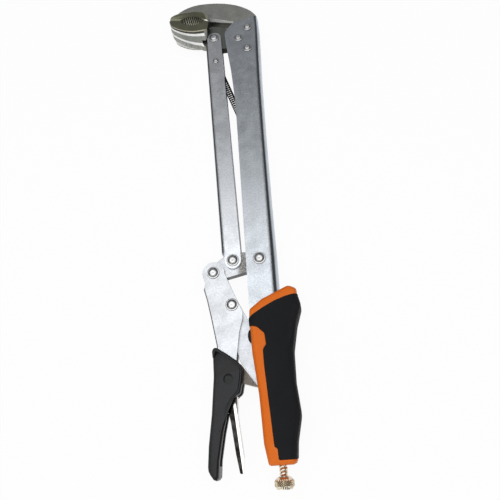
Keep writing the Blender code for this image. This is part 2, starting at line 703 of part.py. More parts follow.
def push_bar():
    """The folded bar, round at both ends, open towards the channel."""
    length = (BAR_BOTTOM - BAR_TOP).length

    def place(across, down):
        return BAR_TOP + BAR_SIDE * across + BAR_AXIS * down

    top = arc(Vector((0, 0)), 1, 0, 180, BAR_END_STEPS)
    outline = [place(point.x * (BAR_FRONT if point.x > 0 else BAR_LOBE), -point.y * BAR_FRONT)
               for point in top]
    back = [place(-BAR_BACK, BAR_FOLD_TOP), place(-BAR_BACK, length - BAR_SPINE_BOTTOM)]
    outline += [place(-BAR_LOBE, BAR_FOLD_TOP - BAR_FOLD_STEP)] + back
    outline.append(place(-BAR_LOBE, length - BAR_SPINE_BOTTOM + BAR_FOLD_STEP))
    outline += [place(-point.x * (BAR_FRONT if point.x < 0 else BAR_LOBE),
                      length + point.y * BAR_FRONT) for point in top]
    fold = fold_block(back, -BAR_SIDE, BAR_HALF, FOLD_RADIUS)
    mesh = common(prism(outline, -BAR_HALF - OVERRUN, BAR_HALF + OVERRUN), [fold])
    inner = -BAR_BACK + SHEET
    far = BAR_BACK + OVERRUN
    spine = (BAR_SPINE_TOP, length - BAR_SPINE_BOTTOM)
    hollow = [place(far, -far), place(far, length + far), place(-far, length + far),
              place(-far, spine[1]), place(inner, spine[1]), place(inner, spine[0]),
              place(-far, spine[0]), place(-far, -far)]
    half = BAR_HALF - SHEET
    cutters = [prism(hollow, -half, half)]
    for centre in (BAR_TOP, BAR_BOTTOM):
        cutters.append(drill(centre, LINK_RIVET_SHANK + PIN_CLEARANCE, BAR_HALF))
    cutters.append(drill(SPRING_ANCHOR, SMALL_SHANK + PIN_CLEARANCE, BAR_HALF))
    piece("push_bar", cut(mesh, cutters), PLATED, BAR_BOTTOM)


def rocker_link():
    """The plate that turns on the channel and carries the bar and the lever."""
    outline = hull([(ROCKER_PIVOT, ROCKER_EYE), (BAR_BOTTOM, ROCKER_SHOULDER), (LEVER_PIVOT, ROCKER_EYE)])
    mesh = prism(outline, -LINK_HALF, LINK_HALF)
    hub_half = CHANNEL_HALF - SHEET - SEAT_GAP
    hub = turned_solid([(ROCKER_HUB, -hub_half), (ROCKER_HUB, hub_half)], (0, 0, 0), DISC_SIDES)
    cutters = []
    for centre in (ROCKER_PIVOT, BAR_BOTTOM, LEVER_PIVOT):
        cutters.append(drill(centre, LINK_RIVET_SHANK + PIN_CLEARANCE, CHANNEL_HALF))
    piece("rocker_link", cut(joined(mesh, [hub]), cutters), PLATED, ROCKER_PIVOT)


def toggle_link():
    """The strut from the lever to the screw's tip."""
    belly = from_shares([TOGGLE_BELLY_SHARES], TOGGLE_PIVOT, STRUT_STEP_X, STRUT_STEP_Y)[0][0]
    heel = from_shares([TOGGLE_HEEL_SHARES], TOGGLE_PIVOT, STRUT_STEP_X, STRUT_STEP_Y)[0][0]
    outline = hull([(TOGGLE_PIVOT, TOGGLE_EYE), (belly, TOGGLE_BELLY), (heel, TOGGLE_HEEL),
                    (STRUT_END, STRUT_EYE)])
    mesh = prism(outline, -LINK_HALF, LINK_HALF)
    hole = drill(TOGGLE_PIVOT, LINK_RIVET_SHANK + PIN_CLEARANCE, LINK_HALF)
    piece("toggle_link", cut(mesh, [hole]), PLATED, TOGGLE_PIVOT)


def lever_outline():
    """Points of the lever's folded back, its front and its eye."""
    back = from_shares(LEVER_BACK_SHARES, LEVER_PIVOT, LEVER_DEPTH, LEVER_LENGTH)
    front = from_shares(LEVER_FRONT_SHARES, LEVER_PIVOT, LEVER_DEPTH, LEVER_LENGTH)
    eye = plain(arc(LEVER_PIVOT, LEVER_EYE, *LEVER_EYE_DEGREES, DISC_SIDES // 2))
    return rounded_parts(back, front, eye)


def hand_lever():
    """The folded lever, its back to the outside, its top an open pair of ears."""
    back, front, eye = lever_outline()
    outline = back + front + eye
    rows = from_shares(LEVER_BACK_SHARES, LEVER_PIVOT, LEVER_DEPTH, LEVER_LENGTH)
    top = rows[1][0].y
    folded = [point for point in back if rows[-1][0].y < point.y < top]
    fold = fold_block(folded, Vector((-1, 0)), BAR_HALF, FOLD_RADIUS)
    mesh = common(prism(outline, -BAR_HALF - OVERRUN, BAR_HALF + OVERRUN), [fold])
    half = BAR_HALF - SHEET
    spine = [point + Vector((SHEET, 0)) for point in back if point.y < top - SHEET]
    spine.append(spine[-1] + Vector((0, -OVERRUN)))
    left = spine[0].x - LEVER_DEPTH
    right = spine[0].x + 2 * LEVER_DEPTH
    inner = [Vector((left, top)), Vector((spine[0].x, top))] + spine
    inner += [Vector((right, spine[-1].y)), Vector((right, LEVER_PIVOT.y + LEVER_DEPTH)),
              Vector((left, LEVER_PIVOT.y + LEVER_DEPTH))]
    cutters = [prism(inner, -half, half)]
    for centre in (LEVER_PIVOT, TOGGLE_PIVOT):
        cutters.append(drill(centre, LINK_RIVET_SHANK + PIN_CLEARANCE, BAR_HALF))
    cutters.append(drill(RELEASE_PIVOT, RELEASE_SHANK + PIN_CLEARANCE, BAR_HALF))
    piece("hand_lever", cut(mesh, cutters), PLATED, LEVER_PIVOT)


def lever_sleeve():
    """The black sleeve over the lever's lower half, slotted along its inner side."""
    rows = from_shares(SLEEVE_SHARES, LEVER_PIVOT, LEVER_DEPTH, LEVER_LENGTH)
    mesh = rounded_block(rows, SLEEVE_HALF, SLEEVE_ROUND)
    back, front, eye = lever_outline()
    room = offset(back + front + eye, SEAT_GAP)
    room_half = BAR_HALF + SEAT_GAP
    slot = [point + Vector((SHEET, 0)) for point in back[4:]]
    slot.append(slot[-1] + Vector((LEVER_DEPTH, 0)))
    slot.append(Vector((slot[-1].x + LEVER_DEPTH, slot[0].y)))
    slot_half = BAR_HALF - SHEET + SEAT_GAP
    cutters = [prism(room, -room_half, room_half), prism(slot, -slot_half, slot_half)]
    piece("lever_sleeve", cut(mesh, cutters), SLEEVE_BLACK, LEVER_PIVOT)


def release_lever():
    """The thin folded lever between the handles, with its nose under the toggle link."""
    rows = from_shares(RELEASE_SHARES, RELEASE_PIVOT, RELEASE_REACH, RELEASE_LENGTH)
    outline = rounded(rows)
    mesh = prism(outline, -LINK_HALF, LINK_HALF)
    corners = [row[0] for row in rows]
    inner = [corners[3] + Vector((-RELEASE_SHEET, -RELEASE_SHEET))]
    inner += [corner + Vector((-RELEASE_SHEET, 0)) for corner in corners[4:7]]
    inner[-1] += Vector((0, -OVERRUN))
    inner += [corners[7] + Vector((-OVERRUN, -OVERRUN)), corners[9] + Vector((-OVERRUN, 0)),
              corners[10] + Vector((-OVERRUN, -RELEASE_SHEET))]
    half = LINK_HALF - RELEASE_SHEET
    cutters = [prism(inner, -half, half), drill(RELEASE_PIVOT, RELEASE_SHANK + PIN_CLEARANCE, LINK_HALF)]
    piece("release_lever", cut(mesh, cutters), BRIGHT, RELEASE_PIVOT)


def release_pin():
    """The plain pin that the release lever turns on, inside the sleeve."""
    half = BAR_HALF - SEAT_GAP
    mesh = turned_solid([(RELEASE_SHANK, -half), (RELEASE_SHANK, half)],
                        (RELEASE_PIVOT.x, RELEASE_PIVOT.y, 0), PIN_SIDES)
    piece("release_pin", mesh, BRIGHT, LEVER_PIVOT)


def release_spring():
    """The leaf that holds the release lever away from the hand lever."""
    corners = [row[0] for row in from_shares(LEVER_BACK_SHARES, LEVER_PIVOT, LEVER_DEPTH, LEVER_LENGTH)]
    tail = [row[0] for row in from_shares(RELEASE_SHARES, RELEASE_PIVOT, RELEASE_REACH, RELEASE_LENGTH)]
    spine = (corners[7] - corners[6]).normalized()
    start = corners[6] + (corners[7] - corners[6]) * LEAF_START_SHARE + Vector((SHEET + 2 * FACE_GAP, 0))
    seat = start - spine * RELEASE_REACH * LEAF_SEAT_SHARE
    end = tail[9] + Vector((-FACE_GAP - LEAF_SHEET, 0)) + (tail[10] - tail[9]) * LEAF_END_SHARE
    middle = (seat + end) / 2 + Vector((-LEAF_SHEET, 0))
    run = smooth_run([start, seat, middle, end], 3)
    outline = run + [point + Vector((LEAF_SHEET, 0)) for point in reversed(run)]
    piece("release_spring", prism(outline, -LEAF_HALF, LEAF_HALF), BRIGHT, LEVER_PIVOT)


def rounded_block(rows, half, edge):
    """A block over an outline whose two faces run into its sides in a quarter round."""
    corners = [row[0] for row in rows]
    upper = []
    for step in range(EDGE_STEPS + 1):
        angle = math.pi / 2 * step / EDGE_STEPS
        inset = edge * (1 - math.cos(angle))
        moved = offset(corners, -inset)
        layer = [(corner, max(row[1] - inset, SEAT_GAP)) for corner, row in zip(moved, rows)]
        upper.append((rounded(layer, CORNER_STEPS), half - edge + edge * math.sin(angle)))
    lower = [(points, -height) for points, height in reversed(upper)]
    return loft(lower + upper)


def grip_block(distance):
    """The handle as a rounded block, grown or shrunk by a distance."""
    rows = from_shares(GRIP_SHARES, ROCKER_PIVOT, GRIP_DEPTH, GRIP_LENGTH)
    corners = offset([row[0] for row in rows], distance)
    rows = [(corner, max(row[1] + distance, SEAT_GAP)) for corner, row in zip(corners, rows)]
    return rounded_block(rows, GRIP_HALF + distance, GRIP_ROUND + distance)


def pad_block(growth):
    """The upright block that marks out the soft pad on the handle."""
    outline = rounded(from_shares(PAD_SHARES, ROCKER_PIVOT, GRIP_DEPTH, GRIP_LENGTH))
    outline = offset(outline, growth) if growth else outline
    reach = GRIP_HALF + OVERRUN
    return prism(outline, -reach, reach)


def slot_block():
    """The long slot in the handle's inner edge for the toggle link, open at its top."""
    left = -GRIP_DEPTH
    bottom = -LEVER_LENGTH * SLOT_DROP_SHARE
    corners = [Vector((left, 0)), Vector((left, bottom)), Vector((0, bottom)), Vector((0, 0))]
    return prism(corners, -SLOT_HALF, SLOT_HALF)


def handle_shell():
    """The orange shell, hollow for the channel and recessed for the pad."""
    recess = cut(pad_block(PIN_CLEARANCE), [grip_block(-PAD_DEPTH - SEAT_GAP)])
    back, front = channel_outline()
    room = offset(back + front, FACE_GAP)
    room_half = CHANNEL_HALF + FACE_GAP
    hole = turned_solid([(SCREW_DIAMETER / 2 + FACE_GAP, -GRIP_LENGTH - OVERRUN),
                         (SCREW_DIAMETER / 2 + FACE_GAP, -GRIP_LENGTH + NUT_LENGTH)],
                        (SCREW_X, 0, 0), PIN_SIDES, "Y")
    mesh = cut(grip_block(0), [recess, prism(room, -room_half, room_half), slot_block(), hole])
    piece("handle_shell", mesh, ORANGE)


def grip_pad():
    """The black soft pad, wrapped round the back of the handle."""
    mesh = common(pad_block(0), [grip_block(PAD_PROUD)])
    mesh = cut(mesh, [grip_block(-PAD_DEPTH), slot_block()])
    piece("grip_pad", mesh, BLACK_SOFT)


def screw_nut():
    """The threaded block at the bottom of the handle."""
    half = CHANNEL_HALF - SHEET - SEAT_GAP
    low = -GRIP_LENGTH + END_WALL + FACE_GAP
    left = SCREW_X - NUT_DEPTH * NUT_INNER_SHARE
    right = left + NUT_DEPTH
    corners = [Vector((left, low)), Vector((right, low)),
               Vector((right, low + NUT_LENGTH)), Vector((left, low + NUT_LENGTH))]
    hole = turned_solid([(SCREW_DIAMETER / 2 + PIN_CLEARANCE, low - OVERRUN),
                         (SCREW_DIAMETER / 2 + PIN_CLEARANCE, low + NUT_LENGTH + OVERRUN)],
                        (SCREW_X, 0, 0), PIN_SIDES, "Y")
    piece("screw_nut", cut(prism(corners, -half, half), [hole]), PLATED_DULL)


def adjusting_screw():
    """The threaded rod, its thread as fine grooves, with a spigot for the knob."""
    radius = SCREW_DIAMETER / 2
    knob_top = -GRIP_LENGTH - SCREW_SHOW
    grooves = int((SCREW_TIP - knob_top) / SCREW_PITCH) - 1
    profile = [(radius * SCREW_POINT_SHARE, SCREW_TIP), (radius, SCREW_TIP - SCREW_PITCH / 2)]
    for groove in range(grooves):
        start = SCREW_TIP - SCREW_PITCH * (groove + 1)
        profile += [(radius - SCREW_THREAD, start), (radius, start - SCREW_PITCH / 2)]
    spigot = radius - 2 * SCREW_THREAD
    profile += [(radius, knob_top + FACE_GAP), (spigot, knob_top + FACE_GAP),
                (spigot, knob_top - SCREW_SPIGOT)]
    mesh = turned_solid(list(reversed(profile)), (SCREW_X, 0, 0), PIN_SIDES, "Y")
    piece("adjusting_screw", mesh, BRASSY, Vector((SCREW_X, knob_top)))


def adjusting_knob():
    """The knurled knob on the screw's end."""
    top = -GRIP_LENGTH - SCREW_SHOW
    bottom = top - KNOB_LENGTH
    radius = KNOB_DIAMETER / 2
    bm = bmesh.new()
    rings = []
    chamfer = KNOB_FLUTE_DEPTH * 2
    for height, inset in ((top, chamfer), (top - chamfer, 0.0), (bottom + chamfer, 0.0), (bottom, chamfer)):
        ring = []
        for step in range(2 * KNOB_FLUTES):
            angle = math.tau * step / (2 * KNOB_FLUTES)
            reach = radius - inset - KNOB_FLUTE_DEPTH * (step % 2)
            ring.append(bm.verts.new((SCREW_X + reach * math.cos(angle), height, reach * math.sin(angle))))
        rings.append(ring)
    for upper, lower in zip(rings, rings[1:]):
        for step in range(len(upper)):
            after = (step + 1) % len(upper)
            bm.faces.new((upper[step], upper[after], lower[after], lower[step]))
    bm.faces.new(rings[0])
    bm.faces.new(rings[-1])
    spigot = SCREW_DIAMETER / 2 - 2 * SCREW_THREAD + PIN_CLEARANCE
    hole = turned_solid([(spigot, top - SCREW_SPIGOT - FACE_GAP), (spigot, top + OVERRUN)],
                        (SCREW_X, 0, 0), PIN_SIDES, "Y")
    mesh = cut(finish_mesh(bm, "knob"), [hole])
    piece("adjusting_knob", mesh, BRASSY, Vector((SCREW_X, top)))


def spring_points():
    """The return spring's wire: a hook, the curls and a second hook."""
    axis = (SPRING_HOOK - SPRING_ANCHOR).normalized()
    side = Vector((-axis.y, axis.x))
    length = (SPRING_HOOK - SPRING_ANCHOR).length
    coil = (SPRING_DIAMETER - SPRING_WIRE) / 2
    hook = SMALL_SHANK + SPRING_WIRE / 2 + SEAT_GAP
    lead = hook + 3 * SPRING_WIRE

    def place(along, across, up):
        flat = SPRING_ANCHOR + axis * along + side * across
        return Vector((flat.x, flat.y, up))

    points = []
    for step in range(HOOK_STEPS + 1):
        angle = math.radians(HOOK_START_DEGREES + HOOK_TURN_DEGREES * step / HOOK_STEPS)
        points.append(place(hook * math.cos(angle), hook * math.sin(angle), 0))
    points.append(place(hook * HOOK_LEAD_SHARE, -hook, 0))
    points.append(place(lead - SPRING_WIRE, -(hook + coil) / 2, 0))
    run = length - 2 * lead
    turns = int(run / SPRING_PITCH)
    count = turns * CURL_POINTS
    for step in range(count + 1):
        angle = math.tau * step / CURL_POINTS
        points.append(place(lead + run * step / count, -coil * math.cos(angle), coil * math.sin(angle)))
    points.append(place(length - lead + SPRING_WIRE, -(hook + coil) / 2, 0))
    points.append(place(length - hook * HOOK_LEAD_SHARE, -hook, 0))
    for step in range(HOOK_STEPS + 1):
        angle = math.radians(HOOK_END_DEGREES + HOOK_TURN_DEGREES * step / HOOK_STEPS)
        points.append(place(length + hook * math.cos(angle), hook * math.sin(angle), 0))
    return points


def least_gap(points):
    """The least gap of the wire to itself, measured between points a part turn away."""
    least = math.inf
    skip = CURL_POINTS // 2 + 1
    for index, point in enumerate(points):
        for other in points[index + skip:index + 2 * CURL_POINTS]:
            least = min(least, (point - other).length)
    return least - SPRING_WIRE


def return_spring():
    """The coil spring that opens the jaws, as one unbroken wire."""
    points = spring_points()
    print("return_spring least gap to itself, mm:", round(least_gap(points) * 1000, 3))
    curve = bpy.data.curves.new("return_spring", "CURVE")
    curve.dimensions = "3D"
    curve.bevel_depth = SPRING_WIRE / 2
    curve.bevel_resolution = 1
    curve.use_fill_caps = True
    spline = curve.splines.new("POLY")
    spline.points.add(len(points) - 1)
    for target, point in zip(spline.points, points):
        target.co = (*point, 1.0)
    guide = bpy.data.objects.new("guide", curve)
    bpy.context.collection.objects.link(guide)
    bpy.context.view_layer.update()
    depsgraph = bpy.context.evaluated_depsgraph_get()
    mesh = bpy.data.meshes.new_from_object(guide.evaluated_get(depsgraph))
    bpy.data.objects.remove(guide, do_unlink=True)
    bm = bmesh.new()
    bm.from_mesh(mesh)
    bmesh.ops.remove_doubles(bm, verts=bm.verts, dist=SPRING_WIRE / 1000)
    piece("return_spring", finish_mesh(bm, "spring"), SPRING_BLACK)


def spring_hook():
    """The short pin between the channel's walls that holds the spring's lower end."""
    half = CHANNEL_HALF - SHEET - SEAT_GAP
    mesh = turned_solid([(SMALL_SHANK, -half), (SMALL_SHANK, half)],
                        (SPRING_HOOK.x, SPRING_HOOK.y, 0), PIN_SIDES)
    piece("spring_hook", mesh, PLATED_DULL)


def rivets():
    """Every domed rivet and pin of the tool."""
    rivet("jaw_pivot_pin", JAW_PIVOT, CHANNEL_HALF, RIVET_SHANK, RIVET_HEAD, RIVET_RISE)
    rivet("upper_tang_rivet", TANG_TOP, CHANNEL_HALF, RIVET_SHANK, RIVET_HEAD, RIVET_RISE)
    rivet("lower_tang_rivet", TANG_LOW, CHANNEL_HALF, RIVET_SHANK, RIVET_HEAD, RIVET_RISE)
    rivet("rocker_pivot_pin", ROCKER_PIVOT, CHANNEL_HALF, LINK_RIVET_SHANK, LINK_RIVET_HEAD, RIVET_RISE)
    rivet("bar_top_pin", BAR_TOP, BAR_HALF, LINK_RIVET_SHANK, LINK_RIVET_HEAD, RIVET_RISE, BAR_BOTTOM)
    rivet("bar_bottom_pin", BAR_BOTTOM, BAR_HALF, LINK_RIVET_SHANK, LINK_RIVET_HEAD, RIVET_RISE, BAR_BOTTOM)
    rivet("spring_anchor_rivet", SPRING_ANCHOR, BAR_HALF, SMALL_SHANK, SMALL_HEAD, SMALL_RISE, BAR_BOTTOM)
    rivet("lever_top_pin", LEVER_PIVOT, BAR_HALF, LINK_RIVET_SHANK, LINK_RIVET_HEAD, RIVET_RISE, LEVER_PIVOT)
    rivet("toggle_pin", TOGGLE_PIVOT, BAR_HALF, LINK_RIVET_SHANK, LINK_RIVET_HEAD, RIVET_RISE, LEVER_PIVOT)


def set_down():
    """Move the whole tool so that its box's bottom centre is the origin."""
    bpy.context.view_layer.update()
    corners = []
    for item in bpy.data.objects:
        corners += [item.matrix_world @ vertex.co for vertex in item.data.vertices]
    low = Vector([min(corner[axis] for corner in corners) for axis in range(3)])
    high = Vector([max(corner[axis] for corner in corners) for axis in range(3)])
    root = bpy.data.objects.new("tool_origin", None)
    bpy.context.collection.objects.link(root)
    for item in bpy.data.objects:
        if item is not root:
            item.parent = root
    root.location = Vector((-(low.x + high.x) / 2, -(low.y + high.y) / 2, -low.z))
    bpy.context.view_layer.update()
    print("size, m:", [round(value, 5) for value in high - low])
    for name, centre in (("rocker", ROCKER_PIVOT), ("jaw", JAW_PIVOT), ("bar", BAR_BOTTOM),
                         ("bar_top", BAR_TOP), ("lever", LEVER_PIVOT), ("toggle", TOGGLE_PIVOT),
                         ("strut_end", STRUT_END), ("release", RELEASE_PIVOT),
                         ("anchor", SPRING_ANCHOR), ("hook", SPRING_HOOK)):
        place = Vector((centre.x, centre.y, 0)) + root.location
        print("pivot", name, [round(value, 6) for value in place])


def main():
    """Build every piece, then set the tool down."""
    clear_scene()
    fixed_channel()
    upper_jaw()
    lower_jaw()
    push_bar()
    rocker_link()
    toggle_link()
    hand_lever()
    lever_sleeve()
    release_lever()
    release_pin()
    release_spring()
    handle_shell()
    grip_pad()
    screw_nut()
    adjusting_screw()
    adjusting_knob()
    return_spring()
    spring_hook()
    rivets()
    set_down()


main()
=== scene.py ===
"""Dress of the long reach locking pliers: plated steel, padded grip, dipped sleeve, knurled knob."""

import logging
import math
from dataclasses import dataclass
from enum import Enum
from typing import Sequence

import bmesh
import bpy
from mathutils import Matrix, Vector


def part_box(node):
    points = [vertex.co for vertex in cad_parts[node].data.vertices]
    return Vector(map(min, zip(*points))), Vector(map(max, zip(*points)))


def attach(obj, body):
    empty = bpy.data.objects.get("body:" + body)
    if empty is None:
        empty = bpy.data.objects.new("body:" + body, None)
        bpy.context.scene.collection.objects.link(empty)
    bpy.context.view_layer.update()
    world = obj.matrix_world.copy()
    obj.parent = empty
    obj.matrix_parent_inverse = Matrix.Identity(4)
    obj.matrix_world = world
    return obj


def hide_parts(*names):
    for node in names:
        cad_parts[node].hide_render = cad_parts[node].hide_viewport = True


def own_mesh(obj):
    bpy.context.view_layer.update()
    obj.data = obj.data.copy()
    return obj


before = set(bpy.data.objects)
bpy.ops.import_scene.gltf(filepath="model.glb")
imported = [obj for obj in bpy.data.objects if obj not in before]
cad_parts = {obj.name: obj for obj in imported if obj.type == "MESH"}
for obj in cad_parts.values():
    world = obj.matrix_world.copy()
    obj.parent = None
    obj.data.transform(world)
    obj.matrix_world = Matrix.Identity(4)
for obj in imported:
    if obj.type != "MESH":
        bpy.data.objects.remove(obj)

log = logging.getLogger("pliers")

# Half way through the tool's thickness
MIDDLE = 0.0104
# Corners nearer than this become one
MERGE_REACH = 1e-6
# Faces of a node that meet at less than this are one flat face, in degrees
FLAT_DEGREES = 0.2
# Edges sharper than these stay sharp on moulded and on round pieces, in degrees
MOULDED_DEGREES = 40.0
ROUND_DEGREES = 60.0

Colour = tuple[float, float, float, float]
Point = tuple[float, float, float]
Span = tuple[float, float]
Socket = bpy.types.NodeSocket
Outputs = bpy.types.NodeOutputs


class Body(Enum):
    """The rigid bodies that a piece can ride on."""

    FRAME = "frame"
    ROCKER = "rocker"
    JAW = "jaw"
    BAR = "bar"
    LEVER = "lever"
    STRUT = "strut"
    RELEASE = "release"
    SCREW = "screw"
    KNOB = "knob"


def shade(code: str) -> Colour:
    """Turn a paint chart's hex code into linear light.

    Args:
        code: six hex digits of an sRGB colour.

    Returns:
        Red, green, blue and full cover, in linear light.
    """
    values = [int(code[place:place + 2], 16) / 255 for place in (0, 2, 4)]
    linear = [v / 12.92 if v <= 0.04045 else ((v + 0.055) / 1.055) ** 2.4 for v in values]
    return (linear[0], linear[1], linear[2], 1.0)


class NodeSheet:
    """A node tree under construction: nodes are added, fed and wired by name."""

    def __init__(self, tree: bpy.types.NodeTree) -> None:
        """Keep the tree that is being filled."""
        self.tree = tree

    def add(self, kind: str, **settings: object) -> bpy.types.Node:
        """Add one node.

        Args:
            kind: the node's type name.
            settings: properties of the node by name.

        Returns:
            The new node.
        """
        node = self.tree.nodes.new(kind)
        for name, value in settings.items():
            setattr(node, name, value)
        return node

    def feed(self, target: Socket, value: object) -> None:
        """Give an input its value.

        Args:
            target: the input.
            value: an output to wire in, or a plain value to set.
        """
        if isinstance(value, Socket):
            self.tree.links.new(value, target)
        else:
            target.default_value = value

    def math(self, operation: str, *terms: object) -> Socket:
        """Work out one sum.

        Args:
            operation: the sum's name, such as MULTIPLY.
            terms: numbers or outputs, in the sum's order.

        Returns:
            The result's socket.
        """
        node = self.add("ShaderNodeMath", operation=operation)
        for target, value in zip(node.inputs, terms):
            self.feed(target, value)
        return node.outputs[0]

    def spread(self, value: Socket, low: object, high: object, least: float = 0.0) -> Socket:
        """Map a value smoothly onto a mask.

        Args:
            value: the socket to map.
            low: the value that gives the mask's least.
            high: the value that gives 1.
            least: the mask's least.

        Returns:
            The mask's socket.
        """
        node = self.add("ShaderNodeMapRange", interpolation_type="SMOOTHSTEP")
        for name, given in (("Value", value), ("From Min", low), ("From Max", high), ("To Min", least)):
            self.feed(node.inputs[name], given)
        return node.outputs["Result"]

    def band(self, value: Socket, low: float, high: float, soft: float) -> Socket:
        """Mark the values from low to high, with soft ends of the given width outside them."""
        rise = self.spread(value, low - soft, low)
        return self.math("MULTIPLY", rise, self.spread(value, high + soft, high))

    def mix(self, factor: object, first: object, second: object) -> Socket:
        """Mix two colours.

        Args:
            factor: a number or socket, 0 for the first colour.
            first: a colour or socket.
            second: a colour or socket.

        Returns:
            The mixed colour's socket.
        """
        node = self.add("ShaderNodeMix", data_type="RGBA")
        for place, value in ((0, factor), (6, first), (7, second)):
            self.feed(node.inputs[place], value)
        return node.outputs[2]

    def layered(self, colour: object, layers: Sequence[tuple[Socket, float, object]]) -> object:
        """Lay colours over one another.

        Args:
            colour: the lowest colour.
            layers: the mask, the share and the colour of each layer, from below.

        Returns:
            The last layer's colour.
        """
        for mask, share, over in layers:
            colour = self.mix(self.math("MULTIPLY", mask, share), colour, over)
        return colour

    def place(self, output: str = "Object") -> Socket:
        """The piece's own coordinates, or another output of that node."""
        return self.add("ShaderNodeTexCoord").outputs[output]

    def axes(self, vector: Socket) -> Outputs:
        """Split a vector.

        Args:
            vector: the socket to split.

        Returns:
            The outputs X, Y and Z.
        """
        node = self.add("ShaderNodeSeparateXYZ")
        self.feed(node.inputs[0], vector)
        return node.outputs

    def noise(self, vector: Socket, scale: Socket, detail: float = 2.0,
              roughness: float = 0.5) -> Socket:
        """Break a surface up with noise.

        Args:
            vector: the coordinates.
            scale: how fine the noise is.
            detail: its steps of detail.
            roughness: how strong the fine steps are.

        Returns:
            The noise's value.
        """
        node = self.add("ShaderNodeTexNoise")
        for name, value in (("Vector", vector), ("Scale", scale), ("Detail", detail),
                            ("Roughness", roughness)):
            self.feed(node.inputs[name], value)
        return node.outputs["Fac"]

    def relief(self, height: Socket, strength: float, depth: float) -> Socket:
        """Turn a height into a bumped normal.

        Args:
            height: the height's socket.
            strength: how much of it shows.
            depth: what a height of 1 stands for.

        Returns:
            The normal's socket.
        """
        node = self.add("ShaderNodeBump")
        for name, value in (("Strength", strength), ("Distance", depth), ("Height", height)):
            self.feed(node.inputs[name], value)
        return node.outputs["Normal"]

    def group(self, tree: bpy.types.NodeTree, **values: object) -> Outputs:
        """Place a shared node group.

        Args:
            tree: the group's tree.
            values: numbers or sockets for its inputs, by name.

        Returns:
            The group's outputs.
        """
        node = self.add("ShaderNodeGroup", node_tree=tree)
        for name, value in values.items():
            self.feed(node.inputs[name.replace("_", " ")], value)
        return node.outputs


def new_group(name: str, inputs: dict[str, float],
              outputs: Sequence[str]) -> tuple[bpy.types.NodeTree, NodeSheet, Outputs, bpy.types.NodeInputs]:
    """Start a shared node group whose sockets are all values.

    Args:
        name: the group's name.
        inputs: its inputs with their usual values.
        outputs: its outputs.

    Returns:
        The group's tree, the sheet to fill it, its given values and its results.
    """
    tree = bpy.data.node_groups.new(name, "ShaderNodeTree")
    for label, value in inputs.items():
        socket = tree.interface.new_socket(name=label, in_out="INPUT", socket_type="NodeSocketFloat")
        socket.default_value = value
    for label in outputs:
        tree.interface.new_socket(name=label, in_out="OUTPUT", socket_type="NodeSocketFloat")
    sheet = NodeSheet(tree)
    return tree, sheet, sheet.add("NodeGroupInput").outputs, sheet.add("NodeGroupOutput").inputs


@dataclass
class Effects:
    """The surface effects that several finishes share, each one node group."""

    noise_rough: float = 0.62
    speck_detail: float = 2.0
    speck_span: Span = (0.38, 0.66)
    cloud_detail: float = 3.0
    cloud_span: Span = (0.35, 0.68)
    height_detail: float = 4.0
    height_scale_share: float = 0.6
    breakup_span: Span = (0.3, 0.6)
    breakup_least: float = 0.35
    raised_span: Span = (0.505, 0.56)
    sunk_span: Span = (0.495, 0.44)
    line_stretch: Point = (1.0, 1.0, 0.06)
    line_detail: float = 1.0
    line_span: Span = (0.42, 0.6)

    def __post_init__(self) -> None:
        """Build every shared group once."""
        self.grain = self._grain()
        self.wear_and_crease_shade = self._wear_and_crease_shade()
        self.side = self._side()
        self.shear = self._shear()

    def _grain(self) -> bpy.types.NodeTree:
        """Fine and broad noise on object coordinates: a speck mask, a cloud mask and a height."""
        tree, sheet, given, result = new_group(
            "surface_grain", {"Speck Scale": 1500.0, "Cloud Scale": 90.0}, ("Speck", "Cloud", "Height"))
        place = sheet.place()
        for label, detail, span in (("Speck", self.speck_detail, self.speck_span),
                                    ("Cloud", self.cloud_detail, self.cloud_span)):
            noise = sheet.noise(place, given[f"{label} Scale"], detail, self.noise_rough)
            sheet.feed(result[label], sheet.spread(noise, *span))
        coarse = sheet.math("MULTIPLY", given["Speck Scale"], self.height_scale_share)
        sheet.feed(result["Height"], sheet.noise(place, coarse, self.height_detail))
        return tree

    def _wear_and_crease_shade(self) -> bpy.types.NodeTree:
        """A mask of raised edges, where wear is laid, and one of sunk creases, where shade is painted, both
        broken up by noise.
        """
        tree, sheet, given, result = new_group("edge_wear_and_crease_shade", {"Breakup Scale": 700.0}, ("Raised", "Sunk"))
        bend = sheet.add("ShaderNodeNewGeometry").outputs["Pointiness"]
        noise = sheet.noise(sheet.place(), given["Breakup Scale"])
        broken = sheet.spread(noise, *self.breakup_span, self.breakup_least)
        for label, span in (("Raised", self.raised_span), ("Sunk", self.sunk_span)):
            sheet.feed(result[label], sheet.math("MULTIPLY", sheet.spread(bend, *span), broken))
        return tree

    def _side(self) -> bpy.types.NodeTree:
        """How a face turns away from the tool's flat sides: Edge on rounded edges, Wall beyond them."""
        tree, sheet, given, result = new_group(
            "edge_side", {"Edge Start": 0.985, "Edge Full": 0.86, "Wall Start": 0.4, "Wall Full": 0.15},
            ("Edge", "Wall"))
        across = sheet.axes(sheet.add("ShaderNodeNewGeometry").outputs["Normal"])["Z"]
        flat = sheet.math("ABSOLUTE", across)
        edge, wall = [sheet.spread(flat, given[f"{label} Start"], given[f"{label} Full"])
                      for label in ("Edge", "Wall")]
        sheet.feed(result["Edge"], sheet.math("MULTIPLY", edge, sheet.math("SUBTRACT", 1.0, wall)))
        sheet.feed(result["Wall"], wall)
        return tree

    def _shear(self) -> bpy.types.NodeTree:
        """The fine upright lines that a press leaves on a cut wall."""
        tree, sheet, given, result = new_group("shear_marks", {"Line Scale": 2600.0}, ("Line",))
        flat = sheet.add("ShaderNodeMapping")
        sheet.feed(flat.inputs["Scale"], self.line_stretch)
        sheet.feed(flat.inputs["Vector"], sheet.place())
        noise = sheet.noise(flat.outputs["Vector"], given["Line Scale"], self.line_detail)
        sheet.feed(result["Line"], sheet.spread(noise, *self.line_span))
        return tree


